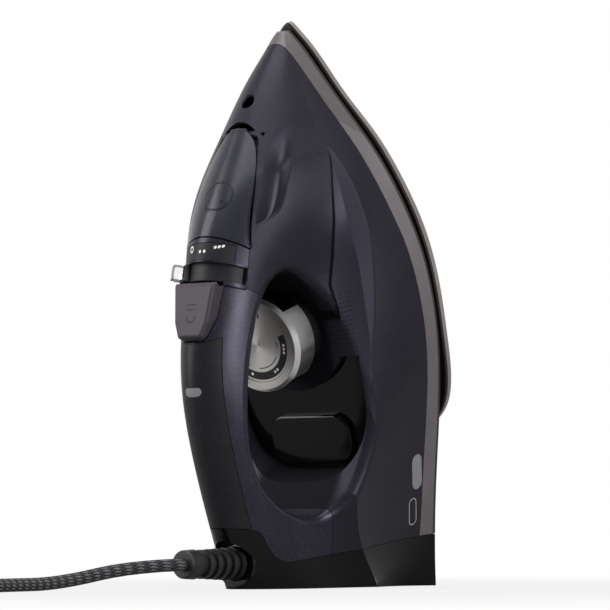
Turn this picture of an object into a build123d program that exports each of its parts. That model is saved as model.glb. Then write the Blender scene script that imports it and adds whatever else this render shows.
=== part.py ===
"""Steam iron standing on its heel, built as an assembly of separate solids."""
from build123d import *
import math
import os

os.makedirs("parts", exist_ok=True)

# Driving dimensions in millimetres. In the iron's own directions u runs along the sole from
# heel to tip, y runs to the left and w runs up from the sole. The iron stands on its heel.
LENGTH = 320
SOLE_WIDTH = 124
LEAN_DEG = 20
SETBACK = 102
WALL = 3.0
SKIN = 2.2
SEAM = 0.3
FOOT_W = 7.0
TRIM_W = 18.0
SOLE_THICK = 4.0
DECK_W = 54.0
DECK_THICK = 2.5
GRIP_ROUND = 5.0
DIAL_U = 166
DIAL_R = 26.0
DIAL_LOW = 72.0
DIAL_TOP = 87.5
SPINDLE_R = 3.0
RUN_FIT = 0.05
TRIGGER_HALF = 12.8
TRIGGER_TRAVEL = 3.5
TRIGGER_GAP = 0.5
TRACK_R = 19.6
SLIDER_GAP = 0.35
PUMP_U = 215
PISTON_R = 5.4
CORD_R = 3.2
RELIEF_Z = 13.0
RELIEF_BALL_X = -43.0
RELIEF_END_X = -100.0
SOCKET_R = 11.6
COIL_PITCH = 7.0
COIL_IN = 28.0
COIL_TURNS = 3.0
COIL_LOW_Z = 4.8
PLUG_R = 18.5

STRETCH = LENGTH / 320
SPREAD = SOLE_WIDTH / 124
LEAN = math.radians(LEAN_DEG)
ALONG = Vector(-math.sin(LEAN), 0, math.cos(LEAN))
UPWARD = Vector(-math.cos(LEAN), 0, -math.sin(LEAN))
IRON = Plane(origin=(SETBACK, 0, 0), x_dir=ALONG, z_dir=UPWARD)
SIDE = Plane(origin=(SETBACK, 0, 0), x_dir=ALONG, z_dir=(0, -1, 0))


def spot(u, y, w):
    """A point given in the iron's own directions."""
    return IRON.from_local_coords((u * STRETCH, y, w))


def station(u):
    """The plane square to the sole's length, at u."""
    return Plane(origin=spot(u, 0, 0), x_dir=(0, 1, 0), z_dir=ALONG)


def level(w):
    """The plane parallel to the sole, at height w."""
    return IRON.offset(w)


def uw(*points):
    """Side view points, stretched with the length."""
    return [(u * STRETCH, w) for u, w in points]


def seat(u, w, slope_deg):
    """A plane lying on the ridge: x towards the tip, z outwards."""
    slope = math.radians(slope_deg)
    ahead = ALONG * math.cos(slope) - UPWARD * math.sin(slope)
    outward = ALONG * math.sin(slope) + UPWARD * math.cos(slope)
    return Plane(origin=spot(u, 0, w), x_dir=ahead, z_dir=outward)


def moved(points, amount, closed):
    """The points moved to the left of their direction of travel, square to their neighbours."""
    count = len(points)
    out = []
    for i, (x, y) in enumerate(points):
        before = points[(i - 1) % count] if closed else points[max(i - 1, 0)]
        after = points[(i + 1) % count] if closed else points[min(i + 1, count - 1)]
        run = math.hypot(after[0] - before[0], after[1] - before[1])
        out.append((x - amount * (after[1] - before[1]) / run, y + amount * (after[0] - before[0]) / run))
    return out


# The body's cross-sections: u, foot, trim half-width and height, shoulder, waist, brow, crown.
ROWS = [
    (-6, 25, 23.5, 16, 22, 60, 20, 92, 17.5, 126, 149),
    (37, 33.5, 30.5, 16, 28.5, 68, 22, 98, 18, 127, 149),
    (74, 43, 41, 16, 36.5, 79, 25, 104, 19, 129, 150),
    (105, 51.5, 49.8, 16, 43, 70, 28, 98, 20, 131, 151),
    (141, 59, 58, 16, 47, 56, 30, 84, 20, 131, 151),
    (171, 61.3, 60.2, 16, 47.3, 51.5, 33, 66, 19.6, 125, 146),
    (200, 58.9, 57.4, 16, 47, 49, 35, 59.5, 19.5, 113, 132),
    (231, 50.3, 48, 16, 43.5, 46.5, 37, 61, 21, 97, 113.5),
    (255, 39.6, 37.6, 16, 35.5, 40, 30.5, 55, 18, 79, 90),
    (281, 24.8, 23, 16, 22, 30, 18.8, 41, 11.5, 54, 60.5),
    (300, 14.6, 12.8, 16, 12.2, 20.5, 10.6, 26.5, 6.5, 33, 36),
    (311, 8.0, 6.4, 13, 5.6, 15.6, 4.6, 17, 2.6, 18.3, 19),
    (316.5, 3.8, 3.1, 9, 2.7, 10, 2.2, 10.8, 1.3, 11.4, 11.7),
]


def body_sections(inset, low, last):
    """Closed cross-sections of the body, drawn in by the inset, up to the row called last."""
    sections = []
    for u, foot, trim, trim_w, shoulder, sh_w, waist, wa_w, brow, br_w, crown in ROWS[:last]:
        a = (foot * SPREAD - inset, low)
        b = (trim * SPREAD - inset, trim_w)
        c = (shoulder * SPREAD - inset, sh_w - 0.4 * inset)
        d = (waist - inset, wa_w - 0.5 * inset)
        e = (brow - inset, br_w)
        top = (0, crown - inset)
        with BuildSketch(station(u)) as section:
            with BuildLine():
                left = Spline(a, b, c)
                Spline(c, d, e, top, (-e[0], e[1]), (-d[0], d[1]), (-c[0], c[1]))
                right = Spline((-c[0], c[1]), (-b[0], b[1]), (-a[0], a[1]))
                Line(right @ 1, left @ 0)
            make_face()
        sections.append(section.sketch)
    return sections


with BuildPart() as outer:
    loft(body_sections(0, FOOT_W, 13))
with BuildPart() as under_skin:
    loft(body_sections(SKIN, FOOT_W - 1, 11))
with BuildPart() as inner:
    loft(body_sections(WALL, FOOT_W - 1, 11))
with BuildPart() as tank_form:
    loft(body_sections(WALL + 2, FOOT_W - 1, 10))
with BuildPart() as tank_room:
    loft(body_sections(WALL + 4, FOOT_W - 1, 10))

# The hand's opening, seen from the side.
GRIP = uw((79, 108), (106, 129), (145, 127), (183, 110), (204, 84), (190, 67), (141, 59), (99, 67))
with BuildPart() as grip:
    with BuildSketch(SIDE):
        with BuildLine():
            Spline(*GRIP, periodic=True)
        make_face()
    extrude(amount=100, both=True)
with BuildPart() as grip_wall:
    with BuildSketch(SIDE):
        with BuildLine():
            Spline(*moved(GRIP, WALL, True), periodic=True)
        make_face()
    extrude(amount=100, both=True)
with BuildPart() as underground:
    with BuildSketch(Plane.XY):
        Rectangle(900, 900)
    extrude(amount=-300)

# Regions that split the body into its mouldings.
with BuildPart() as heel_zone:
    with BuildSketch(Plane.XZ):
        with BuildLine():
            Polyline((130, -5), (130, 34), (-34, 13.6))
            Spline((-34, 13.6), (-46, 18), (-54, 28), (-70, 31), tangents=((-1, -0.12), (-1, 0.1)))
            Polyline((-70, 31), (-130, 33), (-130, -5), (130, -5))
        make_face()
    extrude(amount=100, both=True)
with BuildPart() as above_heel:
    with BuildSketch(Plane.XZ):
        with BuildLine():
            Polyline((130, 400), (130, 34 + SEAM), (-34, 13.6 + SEAM))
            Spline((-34, 13.6 + SEAM), (-46, 18 + SEAM), (-54, 28 + SEAM), (-70, 31 + SEAM),
                   tangents=((-1, -0.12), (-1, 0.1)))
            Polyline((-70, 31 + SEAM), (-130, 33 + SEAM), (-130, 400), (130, 400))
        make_face()
    extrude(amount=100, both=True)
HANDLE_EDGE = uw((231.5, 175), (231.5, 99), (203, 112), (190, 95), (100, 90), (86, 90), (10, 98), (-30, 175))
with BuildPart() as handle_zone:
    with BuildSketch(SIDE):
        with BuildLine():
            Polyline(*HANDLE_EDGE, close=True)
        make_face()
    extrude(amount=100, both=True)
with BuildPart() as handle_zone_wide:
    with BuildSketch(SIDE):
        with BuildLine():
            Polyline(*HANDLE_EDGE, close=True)
        make_face()
        offset(amount=SEAM, kind=Kind.INTERSECTION)
    extrude(amount=100, both=True)
with BuildPart() as trim_zone:
    with BuildSketch(level(FOOT_W - 3)):
        with Locations((160 * STRETCH, 0)):
            Rectangle(420 * STRETCH, 200)
    extrude(amount=TRIM_W - SEAM - FOOT_W + 3)
with BuildPart() as trim_zone_wide:
    with BuildSketch(level(FOOT_W - 3)):
        with Locations((160 * STRETCH, 0)):
            Rectangle(420 * STRETCH, 200)
    extrude(amount=TRIM_W - FOOT_W + 3)

# The dial's well and the deck's pocket behind it, both cut from above.
POCKET = [(150, 42), (120, 41), (102, 36), (91, 26), (87, 0), (91, -26), (102, -36), (120, -41), (150, -42)]
pocket_points = [(u * STRETCH, y * SPREAD) for u, y in POCKET]
with BuildPart() as pocket:
    with BuildSketch(level(DECK_W - DECK_THICK)):
        with BuildLine():
            rim = Spline(*pocket_points)
            Line(rim @ 1, rim @ 0)
        make_face()
        with Locations((DIAL_U * STRETCH, 0)):
            Circle(34, mode=Mode.SUBTRACT)
    extrude(amount=60)
with BuildPart() as pocket_wall:
    with BuildSketch(level(DECK_W - DECK_THICK - WALL)):
        with BuildLine():
            rim = Spline(*moved(pocket_points, -WALL, False))
            Line(rim @ 1, rim @ 0)
        make_face()
    extrude(amount=80)
with BuildPart() as dial_well:
    with BuildSketch(level(DIAL_LOW - 1.0)):
        with Locations((DIAL_U * STRETCH, 0)):
            Circle(DIAL_R + 1.6)
    extrude(amount=26)

with BuildPart() as block:
    add(outer.part)
    add(grip.part, mode=Mode.SUBTRACT)
    edge_pick = [e for e in block.edges() if abs(e.center().Y) > 5 and e.length > 30]
    edge_pick = [e for e in edge_pick if 60 < IRON.to_local_coords(e.center()).Z < 132]
    edge_pick = [e for e in edge_pick if 90 < IRON.to_local_coords(e.center()).X / STRETCH < 230]
    fillet(edge_pick, GRIP_ROUND)
    add(underground.part, mode=Mode.SUBTRACT)
print("body block", block.part.is_valid, len(block.part.solids()), round(block.part.volume / 1000))

with BuildPart() as cavity:
    add(inner.part)
    add(grip_wall.part, mode=Mode.SUBTRACT)
    add(pocket_wall.part, mode=Mode.SUBTRACT)
    with BuildSketch(Plane.XY.offset(WALL)):
        Rectangle(900, 900)
    extrude(amount=-300, mode=Mode.SUBTRACT)
with BuildPart() as shell:
    add(block.part)
    add(cavity.part, mode=Mode.SUBTRACT)
    add(pocket.part, mode=Mode.SUBTRACT)
    add(dial_well.part, mode=Mode.SUBTRACT)
print("shell", shell.part.is_valid, len(shell.part.solids()), round(shell.part.volume / 1000))

# The water door's place on the ridge, and the controls' place on the handle's front.
DOOR = seat(255.5, 88.5, 46.5)
BAND = seat(217, 122.2, 33)
DOOR_FRONT = 32.0
DOOR_GAP = 0.9
HINGE_X = 30.5
HINGE_DEEP = 6.0
PIN_R = 1.2
HINGE = Plane(origin=DOOR.from_local_coords((HINGE_X, 0, -HINGE_DEEP)), x_dir=DOOR.x_dir, z_dir=(0, 1, 0))


def door_points(gap, front):
    """Half of the door's outline from its rear corner to its front, and the mirrored half."""
    half = [(-33.5 - gap, 20 + gap), (0, 17 + gap), (18, 13.4 + gap), (front - 4, 8.2 + gap), (front, 0)]
    return half + [(x, -y) for x, y in reversed(half[:-1])]


with BuildPart() as door_prism:
    with BuildSketch(DOOR.offset(-15)):
        with BuildLine():
            rim = Spline(*door_points(0, DOOR_FRONT))
            Line(rim @ 1, rim @ 0)
        make_face()
    extrude(amount=27)
with BuildPart() as door_hole:
    with BuildSketch(DOOR.offset(-15)):
        with BuildLine():
            rim = Spline(*door_points(DOOR_GAP, DOOR_FRONT + 4))
            Line(rim @ 1, rim @ 0)
        make_face()
    extrude(amount=27)

# Sole group.
SOLE_HALF = [(317, 4.2), (309, 10), (300, 15.4), (281, 25.2), (255, 41), (231, 51.5), (200, 60), (171, 62),
             (141, 60.4), (118, 57.5), (104, 52), (94.5, 42), (89.5, 24)]
sole_left = [(u * STRETCH, v * SPREAD) for u, v in SOLE_HALF]
sole_right = [(u, -v) for u, v in reversed(sole_left)]
sole_loop = [(LENGTH, 0)] + sole_left + [(88 * STRETCH, 0)] + sole_right


def sole_outline(w, inset):
    """The sole's outline at height w, drawn in by the inset, with a blunter tip where it is narrow."""
    shifted = zip(moved(sole_loop, inset, True), sole_loop)
    kept = [new for new, old in shifted if old[0] < 200 * STRETCH or abs(old[1]) > 1.3 * inset]
    kept = [point for point in kept if point[0] < LENGTH - 2.45 * inset - 1]
    with BuildSketch(level(w)) as outline:
        with BuildLine():
            Spline((LENGTH - 2.45 * inset, 0), *kept, periodic=True)
        make_face()
    return outline.sketch


VENT_ROWS = [(300, 0), (288, 7), (276, 13), (263, 20), (249, 27), (234, 33), (217, 38), (199, 41), (180, 42.5)]
vents = [(u * STRETCH, s * y * SPREAD) for u, y in VENT_ROWS for s in ((1, -1) if y else (1,))]
INNER_ROWS = [(282, 0), (270, 0), (258, 7), (244, 13), (228, 18), (211, 22), (193, 25)]
inner_vents = [(u * STRETCH, s * y * SPREAD) for u, y in INNER_ROWS for s in ((1, -1) if y else (1,))]
with BuildPart() as soleplate:
    extrude(sole_outline(0, 0), amount=SOLE_THICK)
    top_edges = soleplate.faces().sort_by(Axis(spot(0, 0, 0), UPWARD))[-1].edges()
    chamfer(top_edges, 1.0)
    with BuildSketch(level(0)):
        with Locations(*vents):
            Circle(1.5)
        with Locations(*inner_vents):
            Circle(1.1)
    extrude(amount=SOLE_THICK, mode=Mode.SUBTRACT)
    extrude(sole_outline(0, 13), amount=0.35, mode=Mode.SUBTRACT)
    extrude(sole_outline(0, 14.6), amount=0.35)
soleplate.part.label = "soleplate"
export_step(soleplate.part, "parts/soleplate.step")

ELEMENT_R = 4.0
ELEMENT_W = 10.5
ELEMENT = [(90, 26), (205, 33), (262, 12), (262, -12), (205, -33), (90, -26)]
element_points = [(u * STRETCH, y * SPREAD) for u, y in ELEMENT]
with BuildLine(level(ELEMENT_W)) as element_path:
    FilletPolyline(*element_points, radius=9)
element_end = Plane(origin=element_path.line @ 0, z_dir=element_path.line % 0)
with BuildPart() as element_room:
    with BuildSketch(element_end):
        Circle(ELEMENT_R + RUN_FIT)
    sweep(path=element_path.line)
with BuildPart() as heating_element:
    with BuildSketch(element_end):
        Circle(ELEMENT_R)
    sweep(path=element_path.line)
heating_element.part.label = "heating_element"
export_step(heating_element.part, "parts/heating_element.step")

CASTING_TOP = 18.0
SOLE_SCREWS = [(284, 0), (124, 40), (124, -40)]
sole_screw_points = [(u * STRETCH, y * SPREAD) for u, y in SOLE_SCREWS]
VALVE_U = 212
with BuildPart() as sole_casting:
    extrude(sole_outline(SOLE_THICK, 9), amount=CASTING_TOP - SOLE_THICK)
    add(element_room.part, mode=Mode.SUBTRACT)
    with BuildSketch(level(CASTING_TOP)):
        with Locations(*sole_screw_points):
            Circle(1.8)
    extrude(amount=-8, mode=Mode.SUBTRACT)
    with BuildSketch(level(CASTING_TOP)):
        with Locations((VALVE_U * STRETCH, 0)):
            SlotOverall(58 * STRETCH, 30)
    extrude(amount=-9, mode=Mode.SUBTRACT)
sole_casting.part.label = "sole_casting"
export_step(sole_casting.part, "parts/sole_casting.step")

with BuildPart() as chamber_cover:
    with BuildSketch(level(CASTING_TOP)):
        with Locations((VALVE_U * STRETCH, 0)):
            SlotOverall(72 * STRETCH, 40)
            Circle(5.0, mode=Mode.SUBTRACT)
    extrude(amount=2.2)
chamber_cover.part.label = "chamber_cover"
export_step(chamber_cover.part, "parts/chamber_cover.step")

with BuildPart() as sole_screws:
    with BuildSketch(level(CASTING_TOP)):
        with Locations(*sole_screw_points):
            Circle(1.8)
    extrude(amount=-7)
    with BuildSketch(level(CASTING_TOP)):
        with Locations(*sole_screw_points):
            RegularPolygon(3.6, 6)
    extrude(amount=2.6)
sole_screws.part.label = "sole_screws"
export_step(sole_screws.part, "parts/sole_screws.step")

THERMO_TOP = 25.0
with BuildPart() as thermostat:
    with BuildSketch(level(CASTING_TOP)):
        with Locations((DIAL_U * STRETCH - 14, 0)):
            Rectangle(40, 17)
    extrude(amount=3)
    with BuildSketch(level(CASTING_TOP)):
        with Locations((DIAL_U * STRETCH, 0)):
            Circle(7.5)
    extrude(amount=THERMO_TOP - CASTING_TOP)
thermostat.part.label = "thermostat"
export_step(thermostat.part, "parts/thermostat.step")

with BuildPart() as thermal_fuse:
    fuse_plane = Plane(origin=spot(122, -11, CASTING_TOP + 3.0), x_dir=ALONG, z_dir=(0, 1, 0))
    with BuildSketch(fuse_plane):
        Circle(3.0)
    extrude(amount=22)
thermal_fuse.part.label = "thermal_fuse"
export_step(thermal_fuse.part, "parts/thermal_fuse.step")

# The heat shield under the body: the dark band between the sole and the trim.
SHIELD_LOW = SOLE_THICK + 0.4
SHIELD_TOP = FOOT_W - 0.2
REAR_SCREWS = [(70, 31.2), (70, -31.2)]
rear_screw_points = [(u * STRETCH, y * SPREAD) for u, y in REAR_SCREWS]
shield_left = [(u * STRETCH, foot * SPREAD - 2.5) for u, foot, *rest in ROWS[1:12]]
shield_loop = [(5, 24 * SPREAD)] + shield_left + [(313.5 * STRETCH, 0)]
shield_loop = shield_loop + [(u, -v) for u, v in reversed(shield_loop[:-1])]
with BuildPart() as heat_shield:
    with BuildSketch(level(SHIELD_LOW)):
        with BuildLine():
            rim = Spline(*shield_loop)
            Line(rim @ 1, rim @ 0)
        make_face()
        with Locations(*rear_screw_points):
            Circle(1.7, mode=Mode.SUBTRACT)
    extrude(amount=SHIELD_TOP - SHIELD_LOW)
    extrude(sole_outline(SHIELD_LOW - 0.5, 8), amount=5, mode=Mode.SUBTRACT)
heat_shield.part.label = "heat_shield"
export_step(heat_shield.part, "parts/heat_shield.step")

with BuildPart() as rear_screws:
    with BuildSketch(level(SHIELD_LOW)):
        with Locations(*rear_screw_points):
            Circle(1.7)
    extrude(amount=16)
    with BuildSketch(level(SHIELD_LOW)):
        with Locations(*rear_screw_points):
            Circle(3.6)
    extrude(amount=-2.2)
rear_screws.part.label = "rear_screws"
export_step(rear_screws.part, "parts/rear_screws.step")

# Body mouldings, all cut from the one shell so that they lie flush.
with BuildPart() as skirt_trim:
    add(shell.part)
    add(trim_zone.part, mode=Mode.INTERSECT)
    add(above_heel.part, mode=Mode.INTERSECT)
skirt_trim.part.label = "skirt_trim"
export_step(skirt_trim.part, "parts/skirt_trim.step")

NOZZLE_U = 285.5
NOZZLE_W = 51.5
TOWER_R = 23.0
TOWER_LOW = 49.0
with BuildPart() as main_housing:
    add(shell.part)
    add(trim_zone_wide.part, mode=Mode.SUBTRACT)
    add(handle_zone_wide.part, mode=Mode.SUBTRACT)
    add(above_heel.part, mode=Mode.INTERSECT)
    add(door_hole.part, mode=Mode.SUBTRACT)
    with BuildSketch(HINGE.offset(5.5), HINGE.offset(-5.5 - 8)):
        Circle(2.6)
    extrude(amount=8)
    with BuildSketch(level(FOOT_W + 0.3)):
        with Locations(*rear_screw_points):
            Circle(4.0)
    extrude(amount=22)
    add(outer.part, mode=Mode.INTERSECT)
    # A low hollow tower carries the dial.
    with BuildSketch(level(TOWER_LOW)):
        with Locations((DIAL_U * STRETCH, 0)):
            Circle(TOWER_R)
    extrude(amount=DIAL_LOW - 1.0 - TOWER_LOW, taper=8)
    with BuildSketch(level(TOWER_LOW - 4)):
        with Locations((DIAL_U * STRETCH, 0)):
            Circle(TOWER_R - 2.5)
    extrude(amount=DIAL_LOW - TOWER_LOW, taper=8, mode=Mode.SUBTRACT)
    with BuildSketch(level(FOOT_W)):
        with Locations(*rear_screw_points):
            Circle(1.7)
    extrude(amount=14, mode=Mode.SUBTRACT)
    with BuildSketch(HINGE.offset(-14)):
        Circle(PIN_R)
    extrude(amount=28, mode=Mode.SUBTRACT)
    nozzle_axis = Plane(origin=spot(NOZZLE_U - 16, 0, NOZZLE_W), x_dir=(0, 1, 0), z_dir=ALONG)
    with BuildSketch(nozzle_axis):
        Circle(3.0)
    extrude(amount=40, mode=Mode.SUBTRACT)
    with BuildSketch(nozzle_axis.offset(12.5)):
        Circle(3.7)
    extrude(amount=30, mode=Mode.SUBTRACT)
    with BuildSketch(level(50)):
        with Locations((DIAL_U * STRETCH, 0)):
            Circle(SPINDLE_R + RUN_FIT)
    extrude(amount=40, mode=Mode.SUBTRACT)
    with BuildSketch(level(40)):
        with Locations((104 * STRETCH, 0)):
            Circle(8.4)
    extrude(amount=30, mode=Mode.SUBTRACT)
with BuildPart() as housing_body:
    add(main_housing.part.solids().sort_by(SortBy.VOLUME)[-1])
housing_body.part.label = "main_housing"
print("main_housing", housing_body.part.is_valid, [round(s.volume) for s in main_housing.part.solids()])
export_step(housing_body.part, "parts/main_housing.step")

RELIEF_AXIS = Plane(origin=(0, 0, RELIEF_Z), x_dir=(0, 1, 0), z_dir=(-1, 0, 0))
with BuildPart() as heel_cover:
    add(shell.part)
    add(heel_zone.part, mode=Mode.INTERSECT)
    with BuildSketch(RELIEF_AXIS.offset(29)):
        Circle(SOCKET_R + 2.8)
    extrude(amount=60)
    add(block.part, mode=Mode.INTERSECT)
    with BuildSketch(RELIEF_AXIS.offset(32)):
        Circle(SOCKET_R)
    extrude(amount=60, mode=Mode.SUBTRACT)
    with BuildSketch(RELIEF_AXIS.offset(20)):
        Circle(7)
    extrude(amount=30, mode=Mode.SUBTRACT)
heel_cover.part.label = "heel_cover"
print("heel_cover", heel_cover.part.is_valid, [round(s.volume) for s in heel_cover.part.solids()])
export_step(heel_cover.part, "parts/heel_cover.step")

# The handle: its shell, the strip along its top and what is let into its front.
SLIDE_AXIS = Plane(origin=BAND.from_local_coords((0, 0, -21.6)), x_dir=(0, 1, 0), z_dir=BAND.x_dir)
TRACK_LOW_R = TRACK_R - 2.0
TRACK_REAR = -5.0
TRACK_FRONT = 4.2
TRIGGER_FRONT = 211.2
TRIGGER_REAR = 184.2
TRIGGER_TAIL = 6.0
COVER_REAR = 85.0
COVER_FRONT = TRIGGER_REAR - 1.0
COVER_HALF = 13.0


def trigger_plan(gap):
    """The trigger's outline from above, tapering to its rear end, grown by the gap."""
    front = TRIGGER_FRONT * STRETCH + gap
    rear = TRIGGER_REAR * STRETCH - gap
    wide = TRIGGER_HALF + gap
    narrow = TRIGGER_TAIL + gap
    half = [(front, wide), (rear + 9, wide - 2.4), (rear + 2.2, narrow + 1.6), (rear, narrow)]
    return half + [(u, -y) for u, y in reversed(half)]


with BuildPart() as skin:
    add(outer.part)
    add(under_skin.part, mode=Mode.SUBTRACT)
with BuildPart() as cover_zone:
    with BuildSketch(level(124)):
        with Locations(((COVER_REAR + COVER_FRONT) / 2 * STRETCH, 0)):
            Rectangle((COVER_FRONT - COVER_REAR) * STRETCH, 2 * COVER_HALF)
    extrude(amount=40)
with BuildPart() as cover_zone_wide:
    with BuildSketch(level(124)):
        with Locations(((COVER_REAR + COVER_FRONT) / 2 * STRETCH, 0)):
            Rectangle((COVER_FRONT - COVER_REAR) * STRETCH + 2 * SEAM, 2 * COVER_HALF + 2 * SEAM)
    extrude(amount=40)
with BuildPart() as band_zone:
    with BuildSketch(BAND.offset(-9)):
        with Locations((9.6, 0)):
            Rectangle(9.2, 31)
    extrude(amount=20)
with BuildPart() as band_zone_wide:
    with BuildSketch(BAND.offset(-9)):
        with Locations((9.6, 0)):
            Rectangle(9.2 + 2 * SEAM, 31 + 2 * SEAM)
    extrude(amount=20)
with BuildPart() as lens_zone:
    with BuildSketch(level(130)):
        with Locations((160 * STRETCH, 0)):
            SlotOverall(10, 4.4, rotation=90)
    extrude(amount=40)

with BuildPart() as trigger_room:
    with BuildSketch(SIDE):
        with BuildLine():
            Polyline(*uw((TRIGGER_REAR - TRIGGER_GAP, 124), (TRIGGER_REAR - TRIGGER_GAP, 170),
                         (TRIGGER_FRONT + TRIGGER_GAP, 170), (TRIGGER_FRONT + TRIGGER_GAP, 112)), close=True)
        make_face()
    extrude(amount=TRIGGER_HALF + TRIGGER_GAP, both=True)
    with BuildSketch(level(100)):
        with BuildLine():
            Polyline(*trigger_plan(TRIGGER_GAP), close=True)
        make_face()
    extrude(amount=90, mode=Mode.INTERSECT)
with BuildPart() as handle_shell:
    add(shell.part)
    with BuildSketch(SLIDE_AXIS.offset(TRACK_REAR - 2)):
        Circle(TRACK_R + 1.5)
        Circle(TRACK_LOW_R - 1.8, mode=Mode.SUBTRACT)
        with Locations((0, -25)):
            Rectangle(80, 62, mode=Mode.SUBTRACT)
    extrude(amount=TRACK_FRONT - TRACK_REAR + 3)
    add(handle_zone.part, mode=Mode.INTERSECT)
    add(above_heel.part, mode=Mode.INTERSECT)
    add(door_hole.part, mode=Mode.SUBTRACT)
    with BuildSketch(SLIDE_AXIS.offset(TRACK_REAR)):
        Circle(TRACK_R + 16)
        Circle(TRACK_LOW_R, mode=Mode.SUBTRACT)
        with Locations((0, -25)):
            Rectangle(80, 62, mode=Mode.SUBTRACT)
    extrude(amount=TRACK_FRONT - TRACK_REAR, mode=Mode.SUBTRACT)
    add(trigger_room.part, mode=Mode.SUBTRACT)
    with BuildSketch(RELIEF_AXIS.offset(20)):
        Circle(SOCKET_R + 3.2)
    extrude(amount=80, mode=Mode.SUBTRACT)
cover_room = skin.part & cover_zone_wide.part
band_room = skin.part & band_zone_wide.part
with BuildPart() as handle_inlaid:
    add(handle_shell.part)
    add(cover_room, mode=Mode.SUBTRACT)
    add(band_room, mode=Mode.SUBTRACT)
with BuildPart() as handle_body:
    add(handle_inlaid.part.solids().sort_by(SortBy.VOLUME)[-1])
handle_body.part.label = "handle_shell"
print("handle_shell", handle_body.part.is_valid, [round(s.volume) for s in handle_inlaid.part.solids()])
export_step(handle_body.part, "parts/handle_shell.step")

with BuildPart() as handle_cover:
    add(skin.part)
    add(cover_zone.part, mode=Mode.INTERSECT)
    add(above_heel.part, mode=Mode.INTERSECT)
    add(lens_zone.part, mode=Mode.SUBTRACT)
handle_cover.part.label = "handle_cover"
print("handle_cover", handle_cover.part.is_valid, [round(s.volume) for s in handle_cover.part.solids()])
export_step(handle_cover.part, "parts/handle_cover.step")

with BuildPart() as indicator_lens:
    add(skin.part)
    add(lens_zone.part, mode=Mode.INTERSECT)
indicator_lens.part.label = "indicator_lens"
export_step(indicator_lens.part, "parts/indicator_lens.step")

with BuildPart() as control_band:
    add(skin.part)
    add(band_zone.part, mode=Mode.INTERSECT)
control_band.part.label = "control_band"
print("control_band", control_band.part.is_valid, [round(s.volume) for s in control_band.part.solids()])
export_step(control_band.part, "parts/control_band.step")

with BuildPart() as slider_track:
    with BuildSketch(SLIDE_AXIS.offset(TRACK_REAR)):
        Circle(TRACK_R)
        Circle(TRACK_LOW_R, mode=Mode.SUBTRACT)
        with Locations((0, -25)):
            Rectangle(80, 66, mode=Mode.SUBTRACT)
    extrude(amount=TRACK_FRONT - TRACK_REAR)
slider_track.part.label = "slider_track"
export_step(slider_track.part, "parts/slider_track.step")

SLIDER_REST_DEG = 40
SLIDER_HALF_DEG = 15
TAB_HALF_DEG = 9


def wedge(middle_deg, half_deg):
    """A long triangle from the axis, opened by half_deg either side of the middle direction."""
    first = math.radians(middle_deg - half_deg)
    second = math.radians(middle_deg + half_deg)
    reach = 45
    return [(0, 0), (reach * math.sin(first), reach * math.cos(first)),
            (reach * math.sin(second), reach * math.cos(second))]


with BuildPart() as steam_slider:
    with BuildSketch(SLIDE_AXIS.offset(TRACK_REAR + SLIDER_GAP)):
        with BuildLine():
            Polyline(*wedge(SLIDER_REST_DEG, SLIDER_HALF_DEG), close=True)
        make_face()
        Circle(TRACK_R + 2.6, mode=Mode.INTERSECT)
        Circle(TRACK_R + SLIDER_GAP, mode=Mode.SUBTRACT)
    extrude(amount=TRACK_FRONT - TRACK_REAR - 2 * SLIDER_GAP)
    with BuildSketch(SLIDE_AXIS.offset(TRACK_REAR + SLIDER_GAP + 0.6)):
        with BuildLine():
            Polyline(*wedge(SLIDER_REST_DEG, TAB_HALF_DEG), close=True)
        make_face()
        Circle(TRACK_R + 7.6, mode=Mode.INTERSECT)
        Circle(TRACK_R + 1.0, mode=Mode.SUBTRACT)
    extrude(amount=TRACK_FRONT - TRACK_REAR - 2 * SLIDER_GAP - 1.2)
steam_slider.part.label = "steam_slider"
print("steam_slider", steam_slider.part.is_valid, [round(s.volume) for s in steam_slider.part.solids()])
export_step(steam_slider.part, "parts/steam_slider.step")

# Water door with its hinge, the filler neck under it and the spray nozzle ahead of it.
with BuildPart() as water_door:
    add(skin.part)
    add(door_prism.part, mode=Mode.INTERSECT)
    with BuildSketch(HINGE.offset(-5)):
        Circle(2.4)
        with Locations((-0.3, -2.6)):
            Rectangle(3.4, 5.2)
    extrude(amount=10)
    add(outer.part, mode=Mode.INTERSECT)
    with BuildSketch(HINGE.offset(-20)):
        Circle(PIN_R + RUN_FIT)
    extrude(amount=40, mode=Mode.SUBTRACT)
    with BuildSketch(HINGE.offset(5.1), HINGE.offset(-5.1 - 14)):
        Circle(3.0)
    extrude(amount=14, mode=Mode.SUBTRACT)
water_door.part.label = "water_door"
print("water_door", water_door.part.is_valid, [round(s.volume) for s in water_door.part.solids()])
export_step(water_door.part, "parts/water_door.step")

with BuildPart() as door_pin:
    with BuildSketch(HINGE.offset(-9.4)):
        Circle(PIN_R)
    extrude(amount=18.8)
door_pin.part.label = "door_pin"
export_step(door_pin.part, "parts/door_pin.step")

with BuildPart() as filler_neck:
    with BuildSketch(DOOR.offset(-17)):
        with Locations((-14, 0)):
            Circle(10.5)
            Circle(8.5, mode=Mode.SUBTRACT)
    extrude(amount=9)
    with BuildSketch(DOOR.offset(-8)):
        with Locations((-14, 0)):
            Circle(12)
            Circle(8.5, mode=Mode.SUBTRACT)
    extrude(amount=1.6)
filler_neck.part.label = "filler_neck"
export_step(filler_neck.part, "parts/filler_neck.step")

with BuildPart() as spray_nozzle:
    with BuildSketch(nozzle_axis):
        Circle(3.0)
    extrude(amount=15)
    with BuildSketch(nozzle_axis.offset(15)):
        Circle(0.6)
    extrude(amount=-6, mode=Mode.SUBTRACT)
    chamfer(spray_nozzle.edges().sort_by(Axis(spot(0, 0, 0), ALONG))[-2:-1], 0.5)
spray_nozzle.part.label = "spray_nozzle"
export_step(spray_nozzle.part, "parts/spray_nozzle.step")

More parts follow.
